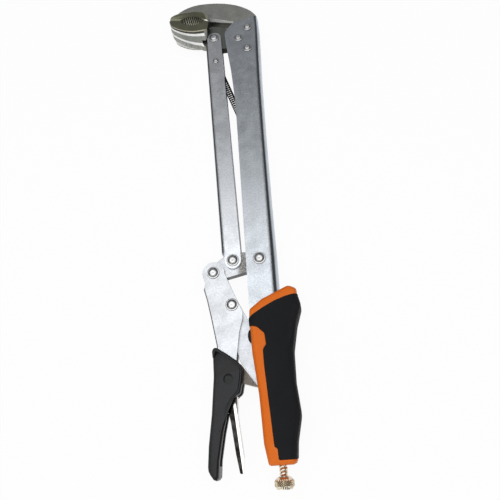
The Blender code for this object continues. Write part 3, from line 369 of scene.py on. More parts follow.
def start_material(name: str) -> tuple[bpy.types.Material, NodeSheet, bpy.types.Node]:
    """Begin a material that has one Principled shader.

    Args:
        name: the material's name.

    Returns:
        The material, its sheet and its Principled shader.
    """
    material = bpy.data.materials.new(name)
    material.use_nodes = True
    sheet = NodeSheet(material.node_tree)
    return material, sheet, material.node_tree.nodes["Principled BSDF"]


@dataclass(frozen=True)
class PlatedSteel:
    """Satin plated steel: fine bright specks and cloudy gloss, with painted shade in creases and painted
    light on rounded edges and walls.
    """

    name: str
    tint: str
    # Painted light on rounded edges, a dark shade on most finishes; also the colour of the dark cloud tone
    # and of the shear lines on walls
    speck: str
    painted_edge_light_and_tone: str
    roughness: float = 0.36
    gloss_swing: float = 0.1
    metallic: float = 1.0
    speck_share: float = 0.55
    speck_scale: float = 1000.0
    cloud_scale: float = 110.0
    cloud_share: float = 0.06
    bump: float = 0.12
    bump_depth: float = 0.0002
    # Share of the painted edge light; the wall colour after it is painted light too, a pale reflection or a
    # dark shade on faces turned away from the flat sides
    painted_edge_light_share: float = 0.8
    wall: str = "a9b0b8"
    wall_share: float = 0.5
    line_share: float = 0.35
    worn_share: float = 0.2
    # Painted shade in sunk creases and grooves, and its share
    painted_crease_shade: str = "2e2b26"
    painted_crease_shade_share: float = 0.6
    edge_span: Span = (0.985, 0.86)
    wall_span: Span = (0.4, 0.15)
    edge_matt: float = 0.0
    edge_polish: float = 0.2
    # Painted shade laid as a gradient along far_axis over far_span; empty for none
    painted_far_shade: str = ""
    far_axis: str = "Y"
    far_span: Span = (0.0, 0.1)

    def base(self, sheet: NodeSheet) -> object:
        """The plating's colour before specks and edges, turning into the painted far shade where one is
        given.

        Args:
            sheet: the material's sheet.

        Returns:
            A colour or the socket of one.
        """
        if not self.painted_far_shade:
            return shade(self.tint)
        along = sheet.spread(sheet.axes(sheet.place())[self.far_axis], *self.far_span)
        return sheet.mix(along, shade(self.tint), shade(self.painted_far_shade))

    def last_layer(self, sheet: NodeSheet, colour: Socket, side: Outputs) -> Socket:
        """What a special finish lays on last, painted highlights and shade among it: nothing on a plain one.
        """
        return colour

    def make(self, effects: Effects) -> bpy.types.Material:
        """Build the material.

        Args:
            effects: the shared groups.

        Returns:
            The finished material.
        """
        material, sheet, shader = start_material(self.name)
        grain = sheet.group(effects.grain, Speck_Scale=self.speck_scale, Cloud_Scale=self.cloud_scale)
        side = sheet.group(effects.side, Edge_Start=self.edge_span[0], Edge_Full=self.edge_span[1],
                           Wall_Start=self.wall_span[0], Wall_Full=self.wall_span[1])
        wear_and_crease_shade = sheet.group(effects.wear_and_crease_shade)
        lines = sheet.math("MULTIPLY", sheet.group(effects.shear)["Line"], self.line_share)
        # Specks and cloud are the plating's own tone and raised edges its wear; the wall, edge and sunk
        # layers are painted light: reflection or shade on walls and rounded edges, shade in creases
        colour = sheet.layered(self.base(sheet), (
            (grain["Speck"], self.speck_share, shade(self.speck)),
            (grain["Cloud"], self.cloud_share, shade(self.painted_edge_light_and_tone)),
            (side["Wall"], self.wall_share, sheet.mix(lines, shade(self.wall), shade(self.painted_edge_light_and_tone))),
            (side["Edge"], self.painted_edge_light_share, shade(self.painted_edge_light_and_tone)),
            (wear_and_crease_shade["Raised"], self.worn_share, shade(self.speck)),
            (wear_and_crease_shade["Sunk"], self.painted_crease_shade_share, shade(self.painted_crease_shade))))
        sheet.feed(shader.inputs["Base Color"], self.last_layer(sheet, colour, side))
        gloss = sheet.math("MULTIPLY_ADD", grain["Cloud"], self.gloss_swing,
                           self.roughness - self.gloss_swing / 2)
        if self.edge_polish:
            gloss = sheet.math("SUBTRACT", gloss, sheet.math("MULTIPLY", side["Edge"], self.edge_polish))
        sheet.feed(shader.inputs["Roughness"], gloss)
        metal = self.metallic
        if self.edge_matt:
            metal = sheet.math("MULTIPLY_ADD", side["Edge"], -self.metallic * self.edge_matt, metal)
        sheet.feed(shader.inputs["Metallic"], metal)
        sheet.feed(shader.inputs["Normal"], sheet.relief(grain["Height"], self.bump, self.bump_depth))
        return material


@dataclass(frozen=True)
class JawSteel(PlatedSteel):
    """Dull plated jaw steel: darker on the wide nose's side faces, painted light and shade striped over the
    teeth in the mouth, and a painted highlight on the throat's chamfer.
    """

    leaf: str = "83836f"
    leaf_span: Span = (0.0085, 0.0093)
    # Painted light on the tooth ridges and painted shade in the grooves, striped across the mouth's walls
    teeth: str = "d8d6c8"
    groove: str = "706f63"
    tooth_pitch: float = 0.00158
    tooth_span: Span = (0.1, 0.9)
    mouth_x: Span = (-0.0329, -0.0121)
    mouth_y: Span = (0.1511, 0.1619)
    mouth_soft: float = 0.0006
    # Painted highlight on the chamfer that slopes towards the front, past the given X
    chamfer_highlight: str = "fbfbf8"
    chamfer_highlight_x_span: Span = (-0.0115, -0.0105)
    sloping: tuple[Span, Span] = ((0.35, 0.5), (0.97, 0.9))
    facing: Span = (-0.2, -0.4)

    def last_layer(self, sheet: NodeSheet, colour: Socket, side: Outputs) -> Socket:
        """Darken the nose's sides, paint light and shade in stripes over the teeth and a highlight on the
        throat's chamfer.

        Args:
            sheet: the material's sheet.
            colour: the plating's colour so far.
            side: the masks that tell walls from flat sides.

        Returns:
            The finished colour.
        """
        parts = sheet.axes(sheet.place())
        off = sheet.math("ABSOLUTE", sheet.math("SUBTRACT", parts["Z"], MIDDLE))
        outer = sheet.spread(off, *self.leaf_span)
        not_wall = sheet.math("SUBTRACT", 1.0, side["Wall"])
        colour = sheet.mix(sheet.math("MULTIPLY", outer, not_wall), colour, shade(self.leaf))
        inside = side["Wall"]
        for axis, (low, high) in (("X", self.mouth_x), ("Y", self.mouth_y)):
            inside = sheet.math("MULTIPLY", inside, sheet.band(parts[axis], low, high, self.mouth_soft))
        # Painted light and shade in stripes, one pair for each tooth
        ridge = sheet.math("SINE", sheet.math("MULTIPLY", parts["X"], math.tau / self.tooth_pitch))
        toothed = sheet.mix(sheet.spread(ridge, *self.tooth_span), shade(self.groove), shade(self.teeth))
        return self.paint_face_light(sheet, sheet.mix(inside, colour, toothed), parts, off)

    def paint_face_light(self, sheet: NodeSheet, colour: Socket, parts: Outputs, off: Socket) -> Socket:
        """Paint a highlight on the sloping chamfer along the throat.

        Args:
            sheet: the material's sheet.
            colour: the plating's colour so far.
            parts: the object coordinates, separated.
            off: distance from the tool's middle plane; not used.

        Returns:
            The finished colour.
        """
        # Painted highlight: the sloping faces turned towards the front get a near white colour
        tilt = sheet.axes(sheet.place("Normal"))
        slope = sheet.math("ABSOLUTE", tilt["Z"])
        chamfer_mask = sheet.math("MULTIPLY", *(sheet.spread(slope, *span) for span in self.sloping))
        chamfer_mask = sheet.math("MULTIPLY", chamfer_mask, sheet.spread(tilt["Y"], *self.facing))
        past = sheet.spread(parts["X"], *self.chamfer_highlight_x_span)
        return sheet.mix(sheet.math("MULTIPLY", chamfer_mask, past), colour, shade(self.chamfer_highlight))


@dataclass(frozen=True)
class HookSteel(JawSteel):
    """The hooked jaw's steel: painted bands of highlight and shadow along its flank, painted shade on the
    wall of its thin lug.
    """

    # Each band is a height off the middle plane, a half width, a colour and a share: a painted highlight on
    # the rim under the nose, a painted shadow below it, and painted highlights on the flank and on its ridge
    painted_light_bands: tuple[tuple[float, float, str, float], ...] = (
        (0.0096, 0.0003, "b9b49f", 0.8), (0.0087, 0.0005, "2c2a20", 0.95),
        (0.0074, 0.0006, "f6f6f3", 0.9), (0.0030, 0.00045, "f6f6f3", 0.95))
    soft: float = 0.0003
    # Painted shade on the thin lug's upright wall
    lug_wall_shade: str = "1b1a15"
    lug_shade_share: float = 0.95
    lug_span: Span = (-0.0115, -0.0125)
    turned_span: Span = (0.97, 0.93)
    upright_span: Span = (0.3, 0.1)

    def paint_face_light(self, sheet: NodeSheet, colour: Socket, parts: Outputs, off: Socket) -> Socket:
        """Lay the painted light bands round the flank and paint shade on the lug's wall.

        Args:
            sheet: the material's sheet.
            colour: the plating's colour so far.
            parts: the object coordinates, separated.
            off: distance from the tool's middle plane.

        Returns:
            The finished colour.
        """
        slope = sheet.math("ABSOLUTE", sheet.axes(sheet.place("Normal"))["Z"])
        flank = sheet.spread(parts["X"], *self.lug_span)
        outward = sheet.math("MULTIPLY", flank, sheet.spread(slope, *self.turned_span))
        colour = sheet.layered(colour, [
            (sheet.math("MULTIPLY", sheet.band(off, centre - half, centre + half, self.soft), outward),
             share, shade(code)) for centre, half, code, share in self.painted_light_bands])
        # Painted shade on the lug's upright wall
        lug = sheet.math("MULTIPLY", sheet.spread(slope, *self.upright_span),
                         sheet.math("SUBTRACT", 1.0, flank))
        return sheet.layered(colour, [(lug, self.lug_shade_share, shade(self.lug_wall_shade))])


@dataclass(frozen=True)
class PaddleSteel(PlatedSteel):
    """The release lever's steel: dark, with a painted highlight strip along its outer edge."""

    # Painted highlight along the edge that faces the other handle
    edge_highlight: str = "fbfaf8"
    lean: float = 0.098
    edge_highlight_at: Span = (-0.0175, -0.0163)
    edge_highlight_below: Span = (-0.1305, -0.1325)
    soft: float = 0.0003

    def last_layer(self, sheet: NodeSheet, colour: Socket, side: Outputs) -> Socket:
        """Paint the highlight strip along the edge that faces the other handle.

        Args:
            sheet: the material's sheet.
            colour: the plating's colour so far.
            side: the masks that tell walls from flat sides; not used.

        Returns:
            The finished colour.
        """
        parts = sheet.axes(sheet.place())
        across = sheet.math("ADD", parts["X"], sheet.math("MULTIPLY", parts["Y"], self.lean))
        edge_highlight = sheet.math("MULTIPLY", sheet.band(across, *self.edge_highlight_at, self.soft),
                           sheet.spread(parts["Y"], *self.edge_highlight_below))
        return sheet.mix(edge_highlight, colour, shade(self.edge_highlight))


@dataclass(frozen=True)
class Moulded:
    """Moulded plastic or dipped rubber: an even colour with fine grain and rubbed edges."""

    name: str
    tint: str
    deep: str
    rubbed: str
    roughness: float
    gloss_swing: float = 0.12
    specular: float = 0.35
    grain_scale: float = 2600.0
    cloud_scale: float = 60.0
    cloud_share: float = 0.3
    rub_share: float = 0.3
    bump: float = 0.2
    bump_depth: float = 0.0001

    def make(self, effects: Effects) -> bpy.types.Material:
        """Build the material.

        Args:
            effects: the shared groups.

        Returns:
            The finished material.
        """
        material, sheet, shader = start_material(self.name)
        grain = sheet.group(effects.grain, Speck_Scale=self.grain_scale, Cloud_Scale=self.cloud_scale)
        wear_and_crease_shade = sheet.group(effects.wear_and_crease_shade)
        colour = sheet.layered(shade(self.tint), ((grain["Cloud"], self.cloud_share, shade(self.deep)),
                                                  (wear_and_crease_shade["Raised"], self.rub_share, shade(self.rubbed))))
        gloss = sheet.math("MULTIPLY_ADD", grain["Speck"], self.gloss_swing,
                           self.roughness - self.gloss_swing / 2)
        for name, value in (("Base Color", colour), ("Roughness", gloss),
                            ("Specular IOR Level", self.specular),
                            ("Normal", sheet.relief(grain["Height"], self.bump, self.bump_depth))):
            sheet.feed(shader.inputs[name], value)
        return material


Finish = PlatedSteel | Moulded

# Edge and wall colours in these finishes are painted light: shade on rounded edges and folds, and on walls a
# pale painted reflection or a dark painted shade
ZINC = PlatedSteel("zinc_plated_channel", "d0d5da", "a8afb6", "34322c", wall="c4ccd5", wall_share=0.95,
                   edge_span=(0.95, 0.88), wall_span=(0.82, 0.7), line_share=0.08)
ZINC_BAR = PlatedSteel("zinc_plated_bar", "e8eaee", "c6cbd1", "34322c", wall="c2c7cc", wall_share=0.7,
                       edge_span=(0.95, 0.86), wall_span=(0.72, 0.5), line_share=0.1)
ZINC_LINK = PlatedSteel("zinc_plated_links", "c9ccd0", "aeb2b7", "34322c", wall="2b2924",
                        wall_share=0.92)
# The rocker darkens towards the channel: a painted shadow
ZINC_ROCKER = PlatedSteel("zinc_plated_rocker", "d0d2d5", "b0b4b9", "34322c", wall="26241f",
                          wall_share=0.95, painted_far_shade="6a665d", far_axis="X", far_span=(0.0012, 0.0046))
ZINC_LEVER = PlatedSteel("zinc_plated_lever", "d3d6d9", "b4b8bd", "34322c", wall="a9a7a1",
                         wall_share=0.8, edge_span=(0.97, 0.86), wall_span=(0.72, 0.5),
                         line_share=0.1)
HEAD_STEEL = JawSteel("dull_plated_jaws", "c6c7c1", "a2a39a", "56554c", roughness=0.4, bump=0.3,
                      wall="2f2d24", wall_share=0.92, edge_matt=0.9, edge_polish=0.0)
# The hook darkens towards its lug: painted shade
HOOK_STEEL = HookSteel("dull_plated_hook", "a6a8a5", "8b8d88", "56554c", roughness=0.38, bump=0.3,
                       wall="a3a5a0", wall_share=0.85, painted_edge_light_share=0.1, line_share=0.7,
                       edge_matt=0.75, edge_polish=0.0,
                       painted_far_shade="82857f", far_axis="X", far_span=(-0.042, -0.02))
# The rivets' edge and wall colour paints the shaded ring round each dome
RIVET_STEEL = PlatedSteel("polished_rivets", "dcdddf", "c4c6c8", "4a453a", roughness=0.38,
                          bump=0.02, painted_edge_light_share=0.6, wall="4a453a", worn_share=0.0, edge_polish=0.0)
# The release lever's dark tint is a painted reflection of dark surroundings; its edge and wall colours are
# painted highlights and its far colour is painted shade on its nose under the link
RELEASE_STEEL = PaddleSteel("polished_release", "12100e", "211e1b", "f6f5f2", roughness=0.22,
                            bump=0.05, painted_edge_light_share=1.0, wall="e9e7e2", wall_share=0.9, edge_matt=0.85,
                            painted_far_shade="5f5750", far_span=(-0.134, -0.124))
NUT_STEEL = PlatedSteel("dull_nut", "8b8b88", "a5a5a0", "4b4944", roughness=0.5)
SPRING_STEEL = PlatedSteel("oiled_spring", "2c2b29", "4a4947", "1c1b1a", roughness=0.42,
                           wall="2a2927")
YELLOW_PLATE = PlatedSteel("yellow_plated_screw", "e6dcc6", "fbf1e0", "5b482f", roughness=0.36,
                           painted_edge_light_share=0.1, wall="d5c5ac")
ORANGE_SHELL = Moulded("orange_shell", "e06d1e", "cb6018", "ee9450", 0.5, cloud_share=0.12,
                       specular=0.12)
BLACK_PAD = Moulded("black_soft_pad", "17181a", "101011", "242528", 0.65, specular=0.12)
BLACK_SLEEVE = Moulded("black_dipped_sleeve", "121315", "0d0d0e", "2a2c30", 0.36, bump=0.08,
                       specular=0.3)


class Workshop:
    """Turns finished meshes into pieces that ride on the tool's bodies."""

    def __init__(self) -> None:
        """Build the shared effects and the bench for finishes."""
        self.effects = Effects()
        self.materials: dict[str, bpy.types.Material] = {}

    def finish(self, kind: Finish) -> bpy.types.Material:
        """The material of a finish, made once.

        Args:
            kind: the finish.

        Returns:
            Its material.
        """
        if kind.name not in self.materials:
            self.materials[kind.name] = kind.make(self.effects)
        return self.materials[kind.name]

    @staticmethod
    def traced(node: str) -> bmesh.types.BMesh:
        """Copy a node's mesh, merged, with its flat faces made whole.

        Args:
            node: the CAD node's name.

        Returns:
            The copy as a bmesh.
        """
        bm = bmesh.new()
        bm.from_mesh(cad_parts[node].data)
        bmesh.ops.remove_doubles(bm, verts=bm.verts, dist=MERGE_REACH)
        bmesh.ops.dissolve_limit(bm, angle_limit=math.radians(FLAT_DEGREES),
                                 use_dissolve_boundaries=False, verts=bm.verts, edges=bm.edges)
        return bm

    @staticmethod
    def drawn(curve: bpy.types.Curve) -> bmesh.types.BMesh:
        """Turn a curve with a round section into a merged mesh.

        Args:
            curve: the curve, with its bevel set.

        Returns:
            The tube as a bmesh.
        """
        guide = bpy.data.objects.new("guide", curve)
        bpy.context.scene.collection.objects.link(guide)
        bpy.context.view_layer.update()
        graph = bpy.context.evaluated_depsgraph_get()
        tube = bpy.data.meshes.new_from_object(guide.evaluated_get(graph))
        bpy.data.objects.remove(guide, do_unlink=True)
        bm = bmesh.new()
        bm.from_mesh(tube)
        bmesh.ops.remove_doubles(bm, verts=bm.verts, dist=MERGE_REACH)
        return bm

    def publish(self, bm: bmesh.types.BMesh, name: str, kind: Finish, body: Body, slot: str,
                stands_for: Sequence[str] = (), smooth: float = 32.0, bevel: float = 0.0,
                segments: int = 2, bevel_from: float = 28.0) -> bpy.types.Object:
        """Make the piece from its mesh and let it ride on its body.

        Args:
            bm: the finished mesh, which is freed.
            name: the piece's name.
            kind: its finish.
            body: what it rides on.
            slot: the record's material slot; not used.
            stands_for: CAD nodes that it replaces.
            smooth: edges sharper than this stay sharp, in degrees.
            bevel: width of the edge rounding, or 0 for none.
            segments: steps of the rounding.
            bevel_from: edges sharper than this are rounded, in degrees.

        Returns:
            The piece.
        """
        bmesh.ops.recalc_face_normals(bm, faces=bm.faces)
        mesh = bpy.data.meshes.new(name)
        bm.to_mesh(mesh)
        bm.free()
        mesh.shade_smooth()
        mesh.set_sharp_from_angle(angle=math.radians(smooth))
        mesh.materials.append(self.finish(kind))
        piece = bpy.data.objects.new(name, mesh)
        bpy.context.scene.collection.objects.link(piece)
        if bevel:
            edge = piece.modifiers.new("edge_round", "BEVEL")
            edge.width = bevel
            edge.segments = segments
            edge.limit_method = "ANGLE"
            edge.angle_limit = math.radians(bevel_from)
            edge.harden_normals = True
        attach(piece, body.value)
        if stands_for:
            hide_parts(*stands_for)
        log.info("%s: %d faces, rides on %s", name, len(mesh.polygons), body.value)
        return piece

    def keep(self, node: str, kind: Finish) -> None:
        """Give a CAD node that stays its finish.

        Args:
            node: the CAD node's name.
            kind: the finish.
        """
        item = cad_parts[node]
        item.data.materials.clear()
        item.data.materials.append(self.finish(kind))
        for face in item.data.polygons:
            face.material_index = 0
        log.info("%s: kept with %s", node, kind.name)


def turned(profile: Sequence[Span], centre: Vector, axis: Vector, across: Vector,
           steps: int) -> bmesh.types.BMesh:
    """Spin a profile into a closed round piece.

    Args:
        profile: radius and height of each point, from one pole to the other.
        centre: a point on the axis at height 0.
        axis: the direction of height.
        across: the direction in which the profile is drawn.
        steps: faces round the piece.

    Returns:
        The spun mesh.
    """
    bm = bmesh.new()
    verts = [bm.verts.new(centre + axis * height + across * radius) for radius, height in profile]
    edges = [bm.edges.new(pair) for pair in zip(verts, verts[1:])]
    bmesh.ops.spin(bm, geom=verts + edges, cent=centre, axis=axis, angle=math.tau, steps=steps,
                   use_merge=True, use_duplicate=False)
    bmesh.ops.remove_doubles(bm, verts=bm.verts, dist=MERGE_REACH)
    return bm


def round_line(name: str, points: Sequence[Sequence[float]], radius: float, resolution: int,
               kind: str) -> bpy.types.Curve:
    """Lay a line with a round section and closed ends through points.

    Args:
        name: the curve's name.
        points: the places it follows.
        radius: the section's radius.
        resolution: how finely the section is cut.
        kind: the spline's type.

    Returns:
        The curve.
    """
    curve = bpy.data.curves.new(name, "CURVE")
    curve.dimensions = "3D"
    curve.bevel_depth = radius
    curve.bevel_resolution = resolution
    curve.use_fill_caps = True
    spline = curve.splines.new(kind)
    spline.points.add(len(points) - 1)
    for target, point in zip(spline.points, points):
        target.co = (*point, 1.0)
    return curve


@dataclass
class Assembly:
    """A group of pieces that is made in one workshop."""

    shop: Workshop

    def dress(self, node: str, name: str, kind: Finish, body: Body, slot: str,
              **rounding: float) -> None:
        """Round a CAD node's own shape, finish it and let it stand for the node."""
        self.shop.publish(self.shop.traced(node), name, kind, body, slot, [node], **rounding)


@dataclass
class Stampings(Assembly):
    """The folded and flat steel pressings of the tool."""

    edge: float = 0.0005
    wide_edge: float = 0.0007
    smooth: float = 35.0

    def build(self) -> None:
        """Round the edges of every pressing and plate it."""
        rows = (
            ("fixed_channel", "long_channel", ZINC, Body.FRAME, "channel_steel", self.edge),
            ("push_bar", "folded_push_bar", ZINC_BAR, Body.BAR, "bar_steel", self.edge),
            ("rocker_link", "rocker_plate", ZINC_ROCKER, Body.ROCKER, "link_steel", self.wide_edge),
            ("toggle_link", "strut_plate", ZINC_LINK, Body.STRUT, "link_steel", self.wide_edge),
            ("hand_lever", "folded_lever", ZINC_LEVER, Body.LEVER, "lever_steel", self.wide_edge),
        )
        for node, name, kind, body, slot, edge in rows:
            self.dress(node, name, kind, body, slot, bevel=edge, smooth=self.smooth,
                       bevel_from=self.smooth)


@dataclass
class JawHead(Assembly):
    """The curved upper jaw and the hooked lower jaw."""

    edge: float = 0.0003
    chamfer: float = 0.0018
    corner_reach: float = 0.0023
    plate_half: float = 0.0045
    throat_start: Point = (-0.00808, 0.15918, 0.0)
    throat_end: Point = (0.01064, 0.15387, 0.0)
    past_share: float = 0.03

    def _on_throat(self, edge: bmesh.types.BMEdge) -> bool:
        """Whether an edge runs along the throat on one of the plate's two faces.

        Args:
            edge: an edge of the upper jaw.

        Returns:
            True for the throat's own edges.
        """
        start = Vector(self.throat_start)
        run = Vector(self.throat_end) - start
        for vert in edge.verts:
            if abs(abs(vert.co.z - MIDDLE) - self.plate_half) > self.edge:
                return False
            spot = Vector((vert.co.x, vert.co.y, 0)) - start
            share = spot.dot(run) / run.length_squared
            if not -self.past_share < share < 1 + self.past_share or (spot - run * share).length > self.edge:
                return False
        return abs(edge.verts[0].co.z - edge.verts[1].co.z) < self.edge

    def _sharpen(self, bm: bmesh.types.BMesh) -> None:
        """Draw the small rounding at each end of the throat together into its corner.

        Args:
            bm: the upper jaw's mesh.
        """
        for corner in (Vector(self.throat_start), Vector(self.throat_end)):
            for vert in bm.verts:
                if (Vector((vert.co.x, vert.co.y, 0)) - corner).length < self.corner_reach:
                    vert.co.x, vert.co.y = corner.x, corner.y
        bmesh.ops.remove_doubles(bm, verts=bm.verts, dist=MERGE_REACH)

    def build(self) -> None:
        """Round and dress both jaws."""
        upper = self.shop.traced("upper_jaw")
        self._sharpen(upper)
        throat = [edge for edge in upper.edges if self._on_throat(edge)]
        log.info("throat edges: %d", len(throat))
        bmesh.ops.bevel(upper, geom=throat, offset=self.chamfer, offset_type="OFFSET", segments=1,
                        profile=0.5, affect="EDGES", clamp_overlap=True, material=-1)
        self.shop.publish(upper, "curved_jaw", HEAD_STEEL, Body.FRAME, "jaw_steel", ["upper_jaw"],
                          bevel=self.edge)
        self.dress("lower_jaw", "hooked_jaw", HOOK_STEEL, Body.JAW, "jaw_steel", bevel=self.edge,
                   smooth=MOULDED_DEGREES, bevel_from=MOULDED_DEGREES)


@dataclass
class Rivets(Assembly):
    """The domed rivets and pins, each with a rim, a groove and a pressed dimple.

    Each row of the dome is a share of the head's radius and a share of its rise, from the top down.
    """

    rise: float = 0.0015
    small_rise: float = 0.0011
    dome_shares: tuple[Span, ...] = (
        (0.0, 0.1), (0.14, 0.07), (0.26, 0.0), (0.42, 0.06), (0.58, 0.22), (0.72, 0.48),
        (0.8, 0.72), (0.86, 0.76), (0.94, 0.74), (1.0, 0.84), (1.0, 1.0), (0.6, 1.0))
    steps: int = 64

    def build(self) -> None:
        """Spin every rivet in its CAD place."""
        rows = (
            (Body.FRAME, ("jaw_pivot_pin", "upper_tang_rivet", "lower_tang_rivet", "rocker_pivot_pin")),
            (Body.BAR, ("bar_top_pin", "bar_bottom_pin", "spring_anchor_rivet")),
            (Body.LEVER, ("lever_top_pin", "toggle_pin")),
        )
        for body, nodes in rows:
            for node in nodes:
                self._rivet(node, body)

    def _rivet(self, node: str, body: Body) -> None:
        """Spin one rivet between the box of its node.

        Args:
            node: the CAD rivet.
            body: what it rides on.
        """
        low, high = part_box(node)
        half = (high.z - low.z) / 2
        head = (high.x - low.x) / 2
        rise = self.small_rise if "anchor" in node else self.rise
        upper = [(head * across, half - rise * down) for across, down in self.dome_shares]
        profile = upper + [(radius, -height) for radius, height in reversed(upper)]
        bm = turned(profile, (low + high) / 2, Vector((0, 0, 1)), Vector((1, 0, 0)), self.steps)
        self.shop.publish(bm, node.replace("_pin", "_head").replace("_rivet", "_dome"), RIVET_STEEL, body,
                          "rivet_steel", [node], smooth=ROUND_DEGREES)


@dataclass
class Grip(Assembly):
    """The orange shell, its black pad and the small bumper on its inner edge."""

    shell_edge: float = 0.0008
    pad_edge: float = 0.0005
    edge_steps: int = 3
    bumper_at: Span = (0.0086, -0.0943)
    bumper_half: float = 0.0042
    bumper_reach: float = 0.0021
    bumper_low: float = 0.0038
    bumper_high: float = 0.0074
    bumper_steps: tuple[int, int] = (32, 20)

    def build(self) -> None:
        """Round the shell and pad, and add the bumper's two halves."""
        rows = (("handle_shell", "moulded_shell", ORANGE_SHELL, "orange_shell", self.shell_edge),
                ("grip_pad", "soft_pad", BLACK_PAD, "black_pad", self.pad_edge))
        for node, name, kind, slot, edge in rows:
            self.dress(node, name, kind, Body.FRAME, slot, bevel=edge, segments=self.edge_steps,
                       smooth=MOULDED_DEGREES)
        for name, sign in (("near_bumper", 1), ("far_bumper", -1)):
            self._bumper(name, sign)

    def _bumper(self, name: str, sign: int) -> None:
        """Press a small rubber bumper on one cheek of the slot.

        Args:
            name: the bumper's name.
            sign: 1 for the near cheek, -1 for the far one.
        """
        bm = bmesh.new()
        around, up = self.bumper_steps
        bmesh.ops.create_uvsphere(bm, u_segments=around, v_segments=up, radius=1.0)
        tall = (self.bumper_high - self.bumper_low) / 2
        bmesh.ops.scale(bm, vec=(self.bumper_reach, self.bumper_half, tall), verts=bm.verts)
        bmesh.ops.translate(bm, verts=bm.verts,
                            vec=(*self.bumper_at, MIDDLE + sign * (self.bumper_low + tall)))
        self.shop.publish(bm, name, BLACK_SLEEVE, Body.FRAME, "black_pad", smooth=ROUND_DEGREES)


@dataclass
class Sleeve(Assembly):
    """The dipped sleeve with its raised lip and boss, and the release lever under it.

    Each row of the lip's line is a place and a share of the lip's radius. Each row of the boss is a
    share of its radius and of its rise.
    """

    edge: float = 0.0005
    edge_steps: int = 3
    paddle_edge: float = 0.0008
    leaf_edge: float = 0.0001
    face: float = 0.007
    lip: float = 0.0009
    lip_resolution: int = 4
    lip_order: int = 3
    lip_steps: int = 8
    lip_sink_share: float = 0.45
    lip_line: tuple[Point, ...] = (
        (-0.0143, -0.1052, 0.7), (-0.0141, -0.1030, 1.1), (-0.0138, -0.1013, 1.5),
        (-0.0131, -0.1006, 1.5), (-0.0115, -0.1013, 1.1), (-0.0089, -0.1032, 1.0),
        (-0.0040, -0.1067, 1.0), (0.0002, -0.1105, 1.0), (0.0016, -0.1132, 1.0),
        (0.0011, -0.1164, 1.0), (0.0006, -0.1199, 1.0), (-0.0002, -0.1235, 1.0),
        (-0.0006, -0.1252, 1.0), (-0.0025, -0.1267, 0.9), (-0.0067, -0.1310, 0.75),
        (-0.0093, -0.1373, 0.55), (-0.0111, -0.1447, 0.2))
    boss_at: Span = (-0.00618, -0.11801)
    boss_radius: float = 0.0031
    boss_rise: float = 0.0005
    boss_root: float = 0.0004
    boss_shares: tuple[Span, ...] = (
        (1.0, 0.06), (0.86, 0.25), (0.7, 0.8), (0.5, 1.0), (0.3, 0.85), (0.0, 0.7))
    boss_steps: int = 48

    def build(self) -> None:
        """Round and dress the sleeve, the release lever, its pin and its leaf."""
        self.dress("lever_sleeve", "dipped_sleeve", BLACK_SLEEVE, Body.LEVER, "black_sleeve",
                   bevel=self.edge, segments=self.edge_steps, smooth=MOULDED_DEGREES)
        self.dress("release_lever", "release_paddle", RELEASE_STEEL, Body.RELEASE, "release_steel",
                   bevel=self.paddle_edge)
        self.dress("release_spring", "release_leaf", SPRING_STEEL, Body.LEVER, "spring_steel",
                   bevel=self.leaf_edge)
        self.shop.keep("release_pin", RIVET_STEEL)
        for name, sign in (("near", 1), ("far", -1)):
            self._lip(f"{name}_sleeve_lip", sign)
            self._boss(f"{name}_pin_boss", sign)

    def _lip(self, name: str, sign: int) -> None:
        """Run the raised lip along the sleeve's top and inner edge.

        Args:
            name: the lip's name.
            sign: 1 for the near face, -1 for the far one.
        """
        height = MIDDLE + sign * (self.face - self.lip * self.lip_sink_share)
        points = [(x, y, height) for x, y, _ in self.lip_line]
        curve = round_line(name, points, self.lip, self.lip_resolution, "NURBS")
        spline = curve.splines[0]
        spline.order_u = self.lip_order
        spline.use_endpoint_u = True
        spline.resolution_u = self.lip_steps
        for target, (_, _, thick) in zip(spline.points, self.lip_line):
            target.radius = thick
        self.shop.publish(self.shop.drawn(curve), name, BLACK_SLEEVE, Body.LEVER, "black_sleeve",
                          smooth=ROUND_DEGREES)

    def _boss(self, name: str, sign: int) -> None:
        """Raise the low round boss over the release lever's pin.

        Args:
            name: the boss's name.
            sign: 1 for the near face, -1 for the far one.
        """
        low = self.face - self.boss_root
        profile = [(0.0, low), (self.boss_radius, low)]
        profile += [(self.boss_radius * across, self.face + self.boss_rise * up)
                    for across, up in self.boss_shares]
        bm = turned(profile, Vector((*self.boss_at, MIDDLE)), Vector((0, 0, sign)),
                    Vector((1, 0, 0)), self.boss_steps)
        self.shop.publish(bm, name, BLACK_SLEEVE, Body.LEVER, "black_sleeve", smooth=ROUND_DEGREES)


